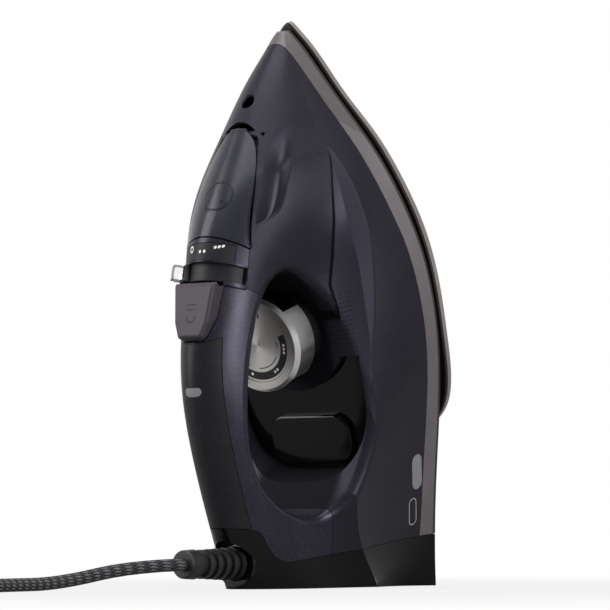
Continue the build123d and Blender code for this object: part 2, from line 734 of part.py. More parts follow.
# Trigger and the pump that it drives.
STEM_U = 203.5
LINK_REAR = 202.2
LINK_LOW = 102.0
LINK_TOP = 106.0
PISTON_LOW = 86.0
PISTON_TOP = 92.0
with BuildPart() as trigger_button:
    with BuildSketch(SIDE):
        with BuildLine():
            Polyline(*uw((TRIGGER_FRONT - 3.8, 117), (TRIGGER_FRONT - 3.8, 124.4), (TRIGGER_FRONT, 126.4),
                         (209.8, 129.6), (187.4, 142.0), (TRIGGER_REAR, 139.6), (TRIGGER_REAR, 129)),
                     close=True)
        make_face()
    extrude(amount=TRIGGER_HALF, both=True)
    with BuildSketch(level(100)):
        with BuildLine():
            Polyline(*trigger_plan(0), close=True)
        make_face()
    extrude(amount=60, mode=Mode.INTERSECT)
    long_edges = [e for e in trigger_button.edges() if IRON.to_local_coords(e.center()).Z > 128.2]
    fillet(long_edges, 1.8)
    with BuildSketch(level(LINK_TOP)):
        with Locations((STEM_U * STRETCH, 0)):
            Circle(3.6)
    extrude(amount=20)
trigger_button.part.label = "trigger_button"
print("trigger_button", trigger_button.part.is_valid, [round(s.volume) for s in trigger_button.part.solids()])
export_step(trigger_button.part, "parts/trigger_button.step")

with BuildPart() as pump_plunger:
    with BuildSketch(level(LINK_LOW)):
        with Locations(((LINK_REAR + PUMP_U) / 2 * STRETCH + 2, 0)):
            SlotOverall((PUMP_U - LINK_REAR) * STRETCH + 4, 7.6)
    extrude(amount=LINK_TOP - LINK_LOW)
    with BuildSketch(level(PISTON_LOW)):
        with Locations((PUMP_U * STRETCH, 0)):
            Circle(2.5)
    extrude(amount=LINK_LOW - PISTON_LOW)
    with BuildSketch(level(PISTON_LOW)):
        with Locations((PUMP_U * STRETCH, 0)):
            Circle(PISTON_R)
    extrude(amount=PISTON_TOP - PISTON_LOW)
pump_plunger.part.label = "pump_plunger"
export_step(pump_plunger.part, "parts/pump_plunger.step")

BARREL_LOW = 70.0
BARREL_TOP = 95.6
with BuildPart() as pump_barrel:
    with BuildSketch(level(BARREL_LOW)):
        with Locations((PUMP_U * STRETCH, 0)):
            Circle(7.4)
    extrude(amount=BARREL_TOP - BARREL_LOW)
    with BuildSketch(level(BARREL_LOW + 2)):
        with Locations((PUMP_U * STRETCH, 0)):
            Circle(PISTON_R + RUN_FIT)
    extrude(amount=BARREL_TOP - BARREL_LOW - 4, mode=Mode.SUBTRACT)
    with BuildSketch(level(BARREL_TOP - 3)):
        with Locations((PUMP_U * STRETCH, 0)):
            Circle(2.5 + RUN_FIT)
    extrude(amount=5, mode=Mode.SUBTRACT)
pump_barrel.part.label = "pump_barrel"
export_step(pump_barrel.part, "parts/pump_barrel.step")

SPRING_WIRE = 0.5
SPRING_R = 3.7
spring_low = BARREL_LOW + 2 + SPRING_WIRE + 0.1
spring_height = PISTON_LOW - BARREL_LOW - 2 - 2 * SPRING_WIRE - 0.2
with BuildPart() as pump_spring:
    with BuildLine() as spring_path:
        Helix(spring_height / 4, spring_height, SPRING_R, center=spot(PUMP_U, 0, spring_low), direction=UPWARD)
    with BuildSketch(Plane(origin=spring_path.line @ 0, z_dir=spring_path.line % 0)):
        Circle(SPRING_WIRE)
    sweep(path=spring_path.line)
pump_spring.part.label = "pump_spring"
print("pump_spring", pump_spring.part.is_valid, round(pump_spring.part.volume, 1))
export_step(pump_spring.part, "parts/pump_spring.step")

HOSE_R = 2.0
hose_points = uw((PUMP_U + 7.4 / STRETCH, 73.5), (245, 73.5), (262, NOZZLE_W), (NOZZLE_U - 16, NOZZLE_W))
with BuildPart() as pump_hose:
    with BuildLine(SIDE) as hose_path:
        FilletPolyline(*hose_points, radius=7)
    with BuildSketch(Plane(origin=hose_path.line @ 0, z_dir=hose_path.line % 0)):
        Circle(HOSE_R)
        Circle(HOSE_R - 0.8, mode=Mode.SUBTRACT)
    sweep(path=hose_path.line)
pump_hose.part.label = "pump_hose"
export_step(pump_hose.part, "parts/pump_hose.step")

# Dial: a rimmed knob, a brushed face let into it and the spindle down to the thermostat.
FACE_R = 20.0
with BuildPart() as dial_knob:
    with BuildSketch(level(DIAL_LOW)):
        with Locations((DIAL_U * STRETCH, 0)):
            Circle(DIAL_R)
    extrude(amount=DIAL_TOP - DIAL_LOW)
    knob_top = dial_knob.faces().sort_by(Axis(spot(0, 0, 0), UPWARD))[-1]
    chamfer(knob_top.edges(), 2.2)
    with BuildSketch(level(DIAL_TOP)):
        with Locations((DIAL_U * STRETCH, 0)):
            Circle(FACE_R)
    extrude(amount=-1.6, mode=Mode.SUBTRACT)
    with BuildSketch(level(DIAL_LOW)):
        with Locations((DIAL_U * STRETCH, 0)):
            Circle(SPINDLE_R)
    extrude(amount=6, mode=Mode.SUBTRACT)
dial_knob.part.label = "dial_knob"
export_step(dial_knob.part, "parts/dial_knob.step")

with BuildPart() as dial_face:
    with BuildSketch(level(DIAL_TOP - 1.6)):
        with Locations((DIAL_U * STRETCH, 0)):
            Circle(FACE_R)
    extrude(amount=1.2)
dial_face.part.label = "dial_face"
export_step(dial_face.part, "parts/dial_face.step")

with BuildPart() as dial_spindle:
    with BuildSketch(level(THERMO_TOP)):
        with Locations((DIAL_U * STRETCH, 0)):
            Circle(SPINDLE_R)
    extrude(amount=DIAL_LOW + 6 - THERMO_TOP)
dial_spindle.part.label = "dial_spindle"
export_step(dial_spindle.part, "parts/dial_spindle.step")

# Deck behind the dial and the pull-out lime collector in it.
COLLECTOR_U = 104
COLLECTOR_R = 8.0
with BuildPart() as deck_cover:
    with BuildSketch(level(DECK_W - DECK_THICK)):
        with BuildLine():
            rim = Spline(*moved(pocket_points, 0.25, False))
            Line(rim @ 1, rim @ 0)
        make_face()
        with Locations((DIAL_U * STRETCH, 0)):
            Circle(34.25, mode=Mode.SUBTRACT)
        with Locations((COLLECTOR_U * STRETCH, 0)):
            Circle(COLLECTOR_R + 0.4, mode=Mode.SUBTRACT)
    extrude(amount=DECK_THICK)
deck_cover.part.label = "deck_cover"
print("deck_cover", deck_cover.part.is_valid, [round(s.volume) for s in deck_cover.part.solids()])
export_step(deck_cover.part, "parts/deck_cover.step")

with BuildPart() as lime_collector:
    with BuildSketch(level(DECK_W + 0.1)):
        with Locations((COLLECTOR_U * STRETCH, 0)):
            RectangleRounded(27, 52, 10)
    extrude(amount=3.2)
    lid_top = lime_collector.faces().sort_by(Axis(spot(0, 0, 0), UPWARD))[-1]
    fillet(lid_top.edges(), 1.4)
    with BuildSketch(level(36)):
        with Locations((COLLECTOR_U * STRETCH, 0)):
            Circle(COLLECTOR_R)
    extrude(amount=DECK_W + 0.1 - 36)
lime_collector.part.label = "lime_collector"
export_step(lime_collector.part, "parts/lime_collector.step")

with BuildPart() as lime_strainer:
    with BuildSketch(level(27)):
        with Locations((COLLECTOR_U * STRETCH, 0)):
            Circle(6.5)
            Circle(5.0, mode=Mode.SUBTRACT)
    extrude(amount=9)
lime_strainer.part.label = "lime_strainer"
export_step(lime_strainer.part, "parts/lime_strainer.step")

# Water tank round the spindle, with the dosing valve in its floor.
TANK_LOW = 27.0
TANK_TOP = 47.0
with BuildPart() as water_tank:
    with BuildSketch(level(TANK_LOW)):
        with Locations((188 * STRETCH, 0)):
            Rectangle(148 * STRETCH, 160)
    extrude(amount=TANK_TOP - TANK_LOW)
    add(tank_form.part, mode=Mode.INTERSECT)
    with BuildSketch(level(TANK_LOW + 2)) as tank_hollow:
        with Locations((188 * STRETCH, 0)):
            Rectangle(144 * STRETCH, 160)
        with Locations((DIAL_U * STRETCH, 0)):
            Circle(7.5, mode=Mode.SUBTRACT)
    tank_void = Solid.extrude(tank_hollow.sketch.faces()[0], UPWARD * (TANK_TOP - TANK_LOW - 4))
    add(tank_void & tank_room.part, mode=Mode.SUBTRACT)
    with BuildSketch(level(TANK_LOW - 1)):
        with Locations((DIAL_U * STRETCH, 0)):
            Circle(5.0)
    extrude(amount=30, mode=Mode.SUBTRACT)
    with BuildSketch(level(TANK_LOW - 1)):
        with Locations((VALVE_U * STRETCH, 0)):
            Circle(5.0)
    extrude(amount=6, mode=Mode.SUBTRACT)
water_tank.part.label = "water_tank"
print("water_tank", water_tank.part.is_valid, [round(s.volume) for s in water_tank.part.solids()])
export_step(water_tank.part, "parts/water_tank.step")

with BuildPart() as dosing_valve:
    with BuildSketch(level(CASTING_TOP - 2)):
        with Locations((VALVE_U * STRETCH, 0)):
            Circle(5.0)
            Circle(1.5, mode=Mode.SUBTRACT)
    extrude(amount=20)
dosing_valve.part.label = "dosing_valve"
export_step(dosing_valve.part, "parts/dosing_valve.step")

# Electrical parts in the handle and the heel.
with BuildPart() as indicator_board:
    with BuildSketch(level(134)):
        with Locations((146 * STRETCH, 0)):
            Rectangle(46 * STRETCH, 16)
    extrude(amount=1.6)
    with BuildSketch(level(135.6)):
        with Locations((160 * STRETCH, 0)):
            Circle(2.0)
    extrude(amount=5)
indicator_board.part.label = "indicator_board"
export_step(indicator_board.part, "parts/indicator_board.step")

WIRE_R = 1.3
WIRE_Z = 10.0
wire_spots = [(-5, 0), (0, 0), (5, 0)]
WIRES = Plane(origin=(-30, 0, WIRE_Z), x_dir=(0, 1, 0), z_dir=(1, 0, 0))
with BuildPart() as lead_wires:
    with BuildSketch(WIRES):
        with Locations(*wire_spots):
            Circle(WIRE_R)
    extrude(amount=58)
lead_wires.part.label = "lead_wires"
export_step(lead_wires.part, "parts/lead_wires.step")

with BuildPart() as terminal_block:
    with BuildSketch(Plane.XY.offset(WALL)):
        with Locations((42, 0)):
            RectangleRounded(28, 28, 2)
    extrude(amount=14)
terminal_block.part.label = "terminal_block"
export_step(terminal_block.part, "parts/terminal_block.step")

with BuildPart() as cord_clamp:
    with BuildSketch(Plane.XY.offset(WALL)):
        with Locations((-8, 0)):
            RectangleRounded(12, 22, 2)
    extrude(amount=10)
    with BuildSketch(WIRES):
        with Locations(*wire_spots):
            Circle(WIRE_R)
    extrude(amount=58, mode=Mode.SUBTRACT)
cord_clamp.part.label = "cord_clamp"
export_step(cord_clamp.part, "parts/cord_clamp.step")

# Swivelling cord relief, its retaining ring, and the free cord with its coil, tie and plug.
RELIEF_PROFILE = Plane(origin=(0, 0, RELIEF_Z), x_dir=(-1, 0, 0), z_dir=(0, 1, 0))
BALL_R = 10.6
RIB_COUNT = 5
NECK_X = 53.5
COLLAR_X = 91.0
with BuildPart() as strain_relief:
    with BuildSketch(RELIEF_PROFILE):
        with Locations((-RELIEF_BALL_X, 0)):
            Circle(BALL_R)
        with BuildLine():
            Polyline((NECK_X - 5, 0), (NECK_X - 5, 7.2), (COLLAR_X, 5.6), (COLLAR_X, 0), close=True)
        make_face()
        for rib in range(RIB_COUNT):
            place = NECK_X + 5 + rib * 6.4
            with Locations((place, 0)):
                Rectangle(3.4, 2 * (8.6 - 0.3 * rib))
        with BuildLine():
            Polyline((COLLAR_X, 0), (COLLAR_X, 7.0), (COLLAR_X + 1, 7.6), (-RELIEF_END_X - 1, 7.2),
                     (-RELIEF_END_X, 6.4), (-RELIEF_END_X, 0), close=True)
        make_face()
        with Locations((60, -30)):
            Rectangle(160, 60, mode=Mode.SUBTRACT)
    revolve(axis=Axis((0, 0, RELIEF_Z), (-1, 0, 0)))
    with BuildSketch(RELIEF_AXIS.offset(-RELIEF_END_X)):
        Circle(CORD_R + RUN_FIT)
    extrude(amount=-14, mode=Mode.SUBTRACT)
strain_relief.part.label = "strain_relief"
print("strain_relief", strain_relief.part.is_valid, [round(s.volume) for s in strain_relief.part.solids()])
export_step(strain_relief.part, "parts/strain_relief.step")

with BuildPart() as socket_ring:
    with BuildSketch(RELIEF_AXIS.offset(52.5)):
        Circle(SOCKET_R)
        Circle(9.0, mode=Mode.SUBTRACT)
    extrude(amount=3.2)
socket_ring.part.label = "socket_ring"
export_step(socket_ring.part, "parts/socket_ring.step")

COIL_OUT = COIL_IN + COIL_TURNS * COIL_PITCH
COIL_HIGH_Z = COIL_LOW_Z + COIL_PITCH
COIL_X = -328.0
COIL_Y = 34.0
entry = Vector(COIL_X, COIL_Y - COIL_OUT, COIL_LOW_Z)
route = [Vector(RELIEF_END_X + 13, 0, RELIEF_Z), Vector(-138, 0, RELIEF_Z), Vector(-190, 6, 4.6),
         Vector(-240, -3, COIL_LOW_Z), Vector(COIL_X + 42, entry.Y, COIL_LOW_Z), entry]


def bend_radii(points):
    """For each inner point, the radius that uses nine twentieths of its shorter run."""
    radii = []
    for before, here, after in zip(points, points[1:], points[2:]):
        turn = math.radians((here - before).get_angle(after - here))
        radii.append(0.45 * min((here - before).length, (after - here).length) / math.tan(turn / 2))
    return radii


cord_radii = bend_radii(route)
print("cord bend radii", [round(r, 1) for r in cord_radii])
with BuildPart() as mains_cord:
    with BuildLine() as cord_path:
        FilletPolyline(*route, radius=cord_radii)
    with BuildSketch(Plane(origin=cord_path.line @ 0, z_dir=cord_path.line % 0)):
        Circle(CORD_R)
    sweep(path=cord_path.line)
cord_length = sum(e.length for e in cord_path.edges())
section_area = math.pi * CORD_R ** 2
print("mains_cord", round(cord_length), round(mains_cord.part.volume / (section_area * cord_length), 4))
mains_cord.part.label = "mains_cord"
export_step(mains_cord.part, "parts/mains_cord.step")


def coil_point(turns):
    """The coil's centre line after so many turns: in on the floor, up, and out on top."""
    climb = turns - COIL_TURNS
    if climb <= 0:
        radius = COIL_OUT - COIL_PITCH * turns
        height = COIL_LOW_Z
    elif climb < 0.5:
        radius = COIL_IN - COIL_PITCH * (climb if climb < 0.25 else 0.5 - climb)
        height = COIL_LOW_Z + COIL_PITCH * (1 - math.cos(climb * 2 * math.pi)) / 2
    else:
        radius = COIL_IN + COIL_PITCH * (climb - 0.5)
        height = COIL_HIGH_Z
    angle = -math.pi / 2 - 2 * math.pi * turns
    return Vector(COIL_X + radius * math.cos(angle), COIL_Y + radius * math.sin(angle), height)


def coil_heading(turns):
    """The direction of the centre line, level where a layer begins or ends."""
    step = 0.01
    return (coil_point(turns + step) - coil_point(turns - step)).normalized()


all_turns = 2 * COIL_TURNS + 0.5
quarters = round(all_turns * 4)
knots = [coil_point(k / 4) for k in range(quarters + 1)]
headings = [Vector(-1, 0, 0)] + [coil_heading(k / 4) for k in range(1, quarters)] + [Vector(1, 0, 0)]
lead = [knots[-1], knots[-1] + Vector(18, 0, 0), knots[-1] + Vector(38, -4, PLUG_R - COIL_HIGH_Z),
        knots[-1] + Vector(54, -4, PLUG_R - COIL_HIGH_Z)]
lead_radii = bend_radii(lead)
print("lead bend radii", [round(r, 1) for r in lead_radii])
with BuildPart() as cord_coil:
    with BuildLine() as coil_path:
        for p0, p1, t0, t1 in zip(knots, knots[1:], headings, headings[1:]):
            span = p1 - p0
            both = t0 + t1
            closing = 2 * (1 - t0.dot(t1))
            reach = (math.sqrt(span.dot(both) ** 2 + closing * span.dot(span)) - span.dot(both)) / closing
            joint = (p0 + t0 * reach + p1 - t1 * reach) * 0.5
            TangentArc(p0, joint, tangent=t0)
            TangentArc(joint, p1, tangent=(p1 - t1 * reach) - (p0 + t0 * reach))
        FilletPolyline(*lead, radius=lead_radii)
    with BuildSketch(Plane(origin=coil_path.line @ 0, z_dir=headings[0])):
        Circle(CORD_R)
    sweep(path=coil_path.line)
coil_length = sum(e.length for e in coil_path.edges())
samples = [coil_point(k * all_turns / 700) for k in range(701)]
least_gap = 1000.0
for i in range(0, 701, 2):
    for j in range(i + 30, 701):
        apart = (samples[i] - samples[j]).length
        least_gap = min(least_gap, apart - 2 * CORD_R)
print("cord_coil", cord_coil.part.is_valid, round(coil_length),
      round(cord_coil.part.volume / (section_area * coil_length), 4), "least gap", round(least_gap, 2))
print("cord length in all", round(cord_length + coil_length))
cord_coil.part.label = "cord_coil"
export_step(cord_coil.part, "parts/cord_coil.step")

TIE_THICK = 0.9
tie_in_y = COIL_Y - 20.4
tie_out_y = COIL_Y - COIL_OUT - CORD_R - 1.0
tie_low = COIL_LOW_Z - CORD_R - 0.5
tie_high = COIL_HIGH_Z + CORD_R + 0.5
TIE = Plane(origin=(COIL_X - 5, (tie_in_y + tie_out_y) / 2, (tie_low + tie_high) / 2), x_dir=(0, 1, 0),
            z_dir=(1, 0, 0))
with BuildPart() as cord_tie:
    with BuildSketch(TIE):
        RectangleRounded(tie_in_y - tie_out_y + 2 * TIE_THICK, tie_high - tie_low + 2 * TIE_THICK, 3)
        RectangleRounded(tie_in_y - tie_out_y, tie_high - tie_low, 2.2, mode=Mode.SUBTRACT)
    extrude(amount=10)
cord_tie.part.label = "cord_tie"
export_step(cord_tie.part, "parts/cord_tie.step")

PLUG = Plane(origin=lead[-1], x_dir=(0, 1, 0), z_dir=(1, 0, 0))
PLUG_PROFILE = Plane(origin=lead[-1], x_dir=(1, 0, 0), z_dir=(0, -1, 0))
with BuildPart() as plug_body:
    with BuildSketch(PLUG_PROFILE):
        with BuildLine():
            Polyline((0, 0), (0, 5.5), (16, 6.5))
            Spline((16, 6.5), (28, 12), (36, 17.5), tangents=((1, 0.05), (1, 0.2)))
            Polyline((36, 17.5), (38, PLUG_R), (50, PLUG_R), (52, 17.5), (52, 0), (0, 0))
        make_face()
    revolve(axis=Axis(lead[-1], (1, 0, 0)))
    with BuildSketch(PLUG.offset(52)):
        with Locations((9.5, 0), (-9.5, 0)):
            Circle(2.4)
    extrude(amount=-8, mode=Mode.SUBTRACT)
plug_body.part.label = "plug_body"
export_step(plug_body.part, "parts/plug_body.step")

with BuildPart() as plug_pins:
    with BuildSketch(PLUG.offset(44)):
        with Locations((9.5, 0), (-9.5, 0)):
            Circle(2.4)
    extrude(amount=27)
    pin_ends = plug_pins.faces().sort_by(Axis.X)[-2:].edges()
    fillet(pin_ends, 1.4)
plug_pins.part.label = "plug_pins"
export_step(plug_pins.part, "parts/plug_pins.step")
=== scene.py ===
import math

import bmesh
import bpy
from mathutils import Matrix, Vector


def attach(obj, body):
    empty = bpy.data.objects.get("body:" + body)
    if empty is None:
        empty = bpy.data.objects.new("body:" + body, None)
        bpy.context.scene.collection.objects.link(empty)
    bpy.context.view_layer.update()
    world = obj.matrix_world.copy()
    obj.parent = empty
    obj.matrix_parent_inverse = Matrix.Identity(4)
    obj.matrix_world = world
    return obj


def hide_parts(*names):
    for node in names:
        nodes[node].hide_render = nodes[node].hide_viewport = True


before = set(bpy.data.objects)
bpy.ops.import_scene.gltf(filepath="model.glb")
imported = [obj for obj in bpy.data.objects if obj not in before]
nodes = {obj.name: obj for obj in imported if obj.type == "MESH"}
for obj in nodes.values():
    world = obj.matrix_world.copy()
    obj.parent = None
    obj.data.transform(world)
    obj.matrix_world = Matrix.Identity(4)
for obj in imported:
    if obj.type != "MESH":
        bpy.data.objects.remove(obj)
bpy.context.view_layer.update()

# The iron leans back on its heel: u runs along the sole to the tip, w rises square to the sole.
MM = 0.001
LEAN = math.radians(20)
SETBACK = 102
ALONG = Vector((-math.sin(LEAN), 0, math.cos(LEAN)))
UPWARD = Vector((-math.cos(LEAN), 0, -math.sin(LEAN)))
SIDEWAYS = Vector((0, 1, 0))


def spot(u, y, w):
    """A point of the iron in millimetres along, across and above its sole, as a place in metres."""
    return (Vector((SETBACK, 0, 0)) + ALONG * u + SIDEWAYS * y + UPWARD * w) * MM


# Camera, at the photograph's place.
def photo_camera():
    """A long lens close to the floor, looking slightly up at the handle's side."""
    lens = bpy.data.cameras.new("photo_camera")
    lens.lens = 177
    lens.sensor_width = 36
    lens.clip_start = 0.05
    lens.clip_end = 50
    camera = bpy.data.objects.new("photo_camera", lens)
    bpy.context.scene.collection.objects.link(camera)
    place = Vector((-1.300, -0.915, 0.030))
    target = Vector((0.007, 0, 0.150))
    camera.location = place
    camera.rotation_mode = "QUATERNION"
    camera.rotation_quaternion = (target - place).to_track_quat("-Z", "Y")
    bpy.context.scene.camera = camera
    return place, target


camera_place, camera_target = photo_camera()
bpy.context.scene.view_settings.view_transform = "Standard"


# Node helpers.
def new_material(name):
    """An empty node material, its tree and its shader, wired to the output."""
    material = bpy.data.materials.new(name)
    material.use_nodes = True
    tree = material.node_tree
    tree.nodes.clear()
    out = tree.nodes.new("ShaderNodeOutputMaterial")
    shader = tree.nodes.new("ShaderNodeBsdfPrincipled")
    tree.links.new(shader.outputs[0], out.inputs["Surface"])
    return material, tree, shader


def new_group(name, inputs, outputs):
    """A shader node group with named sockets."""
    group = bpy.data.node_groups.new(name, "ShaderNodeTree")
    for label, kind, value in inputs:
        socket = group.interface.new_socket(label, in_out="INPUT", socket_type=kind)
        socket.default_value = value
    for label, kind in outputs:
        group.interface.new_socket(label, in_out="OUTPUT", socket_type=kind)
    enter = group.nodes.new("NodeGroupInput")
    leave = group.nodes.new("NodeGroupOutput")
    return group, enter, leave


def wire(tree, value, socket):
    """Links a socket, or sets a plain number or colour."""
    if isinstance(value, (int, float)):
        socket.default_value = value
    elif isinstance(value, (tuple, list)):
        socket.default_value = (*value, 1)
    else:
        tree.links.new(value, socket)


def reckon(tree, operation, first, second=None, clamp=False):
    """A math node on sockets or plain numbers; returns its output."""
    node = tree.nodes.new("ShaderNodeMath")
    node.operation = operation
    node.use_clamp = clamp
    wire(tree, first, node.inputs[0])
    if second is not None:
        wire(tree, second, node.inputs[1])
    return node.outputs[0]


def scaled(tree, value, share):
    """A value or a mask times a plain number."""
    return reckon(tree, "MULTIPLY", value, share)


def ramp(tree, value, low, high, to_low=0.0, to_high=1.0, smooth=True):
    """A value stepped smoothly, or in a straight line, from low to high."""
    node = tree.nodes.new("ShaderNodeMapRange")
    node.interpolation_type = "SMOOTHSTEP" if smooth else "LINEAR"
    tree.links.new(value, node.inputs["Value"])
    for label, number in (("From Min", low), ("From Max", high), ("To Min", to_low), ("To Max", to_high)):
        node.inputs[label].default_value = number
    return node.outputs["Result"]


def blend_colour(tree, share, first, second, kind="MIX"):
    """A colour mixed from two colours or sockets by a share."""
    node = tree.nodes.new("ShaderNodeMix")
    node.data_type = "RGBA"
    node.blend_type = kind
    wire(tree, share, node.inputs["Factor"])
    wire(tree, first, node.inputs[6])
    wire(tree, second, node.inputs[7])
    return node.outputs[2]


def band(tree, value, low, high, soft):
    """A mask that is 1 between low and high with soft edges."""
    rise = ramp(tree, value, low - soft, low)
    fall = ramp(tree, value, high, high + soft, 1.0, 0.0)
    return reckon(tree, "MULTIPLY", rise, fall)


def both(tree, *masks):
    """A mask that is 1 where every mask is."""
    total = masks[0]
    for mask in masks[1:]:
        total = reckon(tree, "MULTIPLY", total, mask)
    return total


def either(tree, *masks):
    """A mask that is 1 where any mask is."""
    total = masks[0]
    for mask in masks[1:]:
        total = reckon(tree, "MAXIMUM", total, mask)
    return total


def reach(tree, x, y, at_x, at_y):
    """Distance in a plane from a point."""
    across = reckon(tree, "SUBTRACT", x, at_x)
    up = reckon(tree, "SUBTRACT", y, at_y)
    square = reckon(tree, "ADD", reckon(tree, "MULTIPLY", across, across), reckon(tree, "MULTIPLY", up, up))
    return reckon(tree, "SQRT", square)


def disc(tree, x, y, at_x, at_y, radius, soft=0.12):
    """A filled round mark."""
    return ramp(tree, reach(tree, x, y, at_x, at_y), radius - soft, radius + soft, 1.0, 0.0)


def traced(tree, value, points):
    """A line through points, from a place along the iron to a height, all in millimetres."""
    points = sorted(points)
    low, high = points[0][0], points[-1][0]
    bottom, top = min(p[1] for p in points), max(p[1] for p in points)
    node = tree.nodes.new("ShaderNodeFloatCurve")
    curve = node.mapping.curves[0]
    places = [((x - low) / (high - low), (y - bottom) / (top - bottom)) for x, y in points]
    curve.points[0].location = places[0]
    curve.points[1].location = places[-1]
    for place in places[1:-1]:
        curve.points.new(*place)
    node.mapping.update()
    tree.links.new(ramp(tree, value, low, high, smooth=False), node.inputs["Value"])
    return ramp(tree, node.outputs["Value"], 0, 1, bottom, top, smooth=False)


def raised(tree, height, distance, strength=1.0, under=None):
    """A bump from a height, laid over another normal."""
    node = tree.nodes.new("ShaderNodeBump")
    node.inputs["Strength"].default_value = strength
    node.inputs["Distance"].default_value = distance
    tree.links.new(height, node.inputs["Height"])
    if under is not None:
        tree.links.new(under, node.inputs["Normal"])
    return node.outputs["Normal"]


def object_place(tree):
    return tree.nodes.new("ShaderNodeTexCoord").outputs["Object"]


# Shared effect: fine moulded grain, slow mottling, and metal flakes.
def make_grain_group():
    group, enter, leave = new_group(
        "moulded_grain",
        [("Grain Scale", "NodeSocketFloat", 2500.0), ("Cloud Scale", "NodeSocketFloat", 30.0)],
        [("Grain", "NodeSocketFloat"), ("Cloud", "NodeSocketFloat"), ("Flake", "NodeSocketFloat")],
    )
    place = object_place(group)
    for label, scale, detail in (("Grain", "Grain Scale", 3), ("Cloud", "Cloud Scale", 4)):
        pattern = group.nodes.new("ShaderNodeTexNoise")
        pattern.inputs["Detail"].default_value = detail
        group.links.new(place, pattern.inputs["Vector"])
        group.links.new(enter.outputs[scale], pattern.inputs["Scale"])
        group.links.new(pattern.outputs["Fac"], leave.inputs[label])
    cells = group.nodes.new("ShaderNodeTexVoronoi")
    cells.inputs["Scale"].default_value = 2200
    group.links.new(place, cells.inputs["Vector"])
    parts = group.nodes.new("ShaderNodeSeparateColor")
    group.links.new(cells.outputs["Color"], parts.inputs["Color"])
    group.links.new(ramp(group, parts.outputs["Red"], 0.7, 1.0), leave.inputs["Flake"])
    return group


# Shared effect: where a point lies on the iron, in millimetres.
def make_place_group():
    group, enter, leave = new_group(
        "place_on_iron", [], [(label, "NodeSocketFloat") for label in ("Along", "Across", "Up", "Aside")]
    )
    place = object_place(group)
    shift = group.nodes.new("ShaderNodeVectorMath")
    shift.operation = "SUBTRACT"
    shift.inputs[1].default_value = (SETBACK * MM, 0, 0)
    group.links.new(place, shift.inputs[0])
    for label, direction in (("Along", ALONG), ("Across", SIDEWAYS), ("Up", UPWARD)):
        dot = group.nodes.new("ShaderNodeVectorMath")
        dot.operation = "DOT_PRODUCT"
        dot.inputs[1].default_value = direction / MM
        group.links.new(shift.outputs["Vector"], dot.inputs[0])
        group.links.new(dot.outputs["Value"], leave.inputs[label])
        if label == "Across":
            group.links.new(reckon(group, "ABSOLUTE", dot.outputs["Value"]), leave.inputs["Aside"])
    return group


GRAIN = make_grain_group()
PLACE = make_place_group()


def add_group(tree, group, **values):
    node = tree.nodes.new("ShaderNodeGroup")
    node.node_tree = group
    for label, value in values.items():
        node.inputs[label.replace("_", " ")].default_value = value
    return node.outputs


def moulded_base(name, colour, rough, metallic=0.0, coat=0.0, coat_rough=0.1, specular=0.5, grain=2500.0,
                 depth=0.03, cloud=30.0, tone=0.12, gloss_change=0.1, flake=0.0, tint=None):
    """A moulded finish before its own marks: the material, its tree and its four working sockets."""
    material, tree, shader = new_material(name)
    shader.inputs["Metallic"].default_value = metallic
    shader.inputs["Coat Weight"].default_value = coat
    shader.inputs["Coat Roughness"].default_value = coat_rough
    shader.inputs["Specular IOR Level"].default_value = specular
    if tint:
        shader.inputs["Specular Tint"].default_value = (*tint, 1)
    effect = add_group(tree, GRAIN, Grain_Scale=grain, Cloud_Scale=cloud)
    share = ramp(tree, effect["Cloud"], 0.3, 0.7)
    darker = tuple(c * (1 - tone) for c in colour)
    lighter = tuple(c * (1 + tone) for c in colour)
    paint = blend_colour(tree, share, darker, lighter)
    if flake:
        sparkle = reckon(tree, "MULTIPLY", effect["Flake"], flake)
        paint = blend_colour(tree, sparkle, paint, (0.5, 0.48, 0.6))
    gloss = ramp(tree, effect["Cloud"], 0.25, 0.75, rough * (1 - gloss_change), rough * (1 + gloss_change))
    normal = raised(tree, effect["Grain"], 0.0004, depth)
    return material, tree, shader, paint, gloss, normal


def close_finish(tree, shader, paint, gloss, normal):
    tree.links.new(paint, shader.inputs["Base Color"])
    tree.links.new(gloss, shader.inputs["Roughness"])
    tree.links.new(normal, shader.inputs["Normal"])


def moulded(name, colour, rough, **more):
    """A moulded finish with no marks of its own."""
    material, tree, shader, paint, gloss, normal = moulded_base(name, colour, rough, **more)
    close_finish(tree, shader, paint, gloss, normal)
    return material


VIOLET = (0.80, 0.77, 1.0)


# Body shell: pillar seam, leaf-shaped side facet with a painted sheen, scoop beside the door with painted
# shade, painted shade in the hand's opening, pin dots and two blank pills.
SEAM = [(271.4, 27.2), (265.6, 31), (254.8, 39.2), (250.5, 41.6), (242, 46.9), (232.4, 51.4), (222.4, 54.4),
        (212.3, 56.5), (202, 57.5), (196.9, 58.4), (189.3, 60.3)]
CREASE = [(258, 37), (250, 35.2), (242, 34.4), (234.3, 34.5), (228.9, 35), (218.7, 36.1), (204.2, 39.2),
          (189.4, 42.5), (176.2, 45.6), (161.1, 49.8), (145.3, 55), (131.2, 58.7)]
SCOOP_DOOR = [(276, 51.5), (273.8, 54.1), (269.6, 60.7), (265.7, 66.4), (258.5, 74.2), (252.1, 80.6),
              (244.7, 86.9), (239, 91.4), (231, 96.5)]
SCOOP_SIDE = [(276, 45.4), (268.4, 51.4), (261.1, 57.1), (254.9, 62.7), (246.4, 71.3), (240.8, 76.3),
              (235.1, 82.6), (232.4, 89.6), (231, 95.4)]
# Each pill: its middle and half length along, its height, its radius, and whether it is only a ring.
PILLS = [(51.8, 4.8, 19.6, 3.0, True), (73.8, 6.2, 15.6, 3.8, False)]


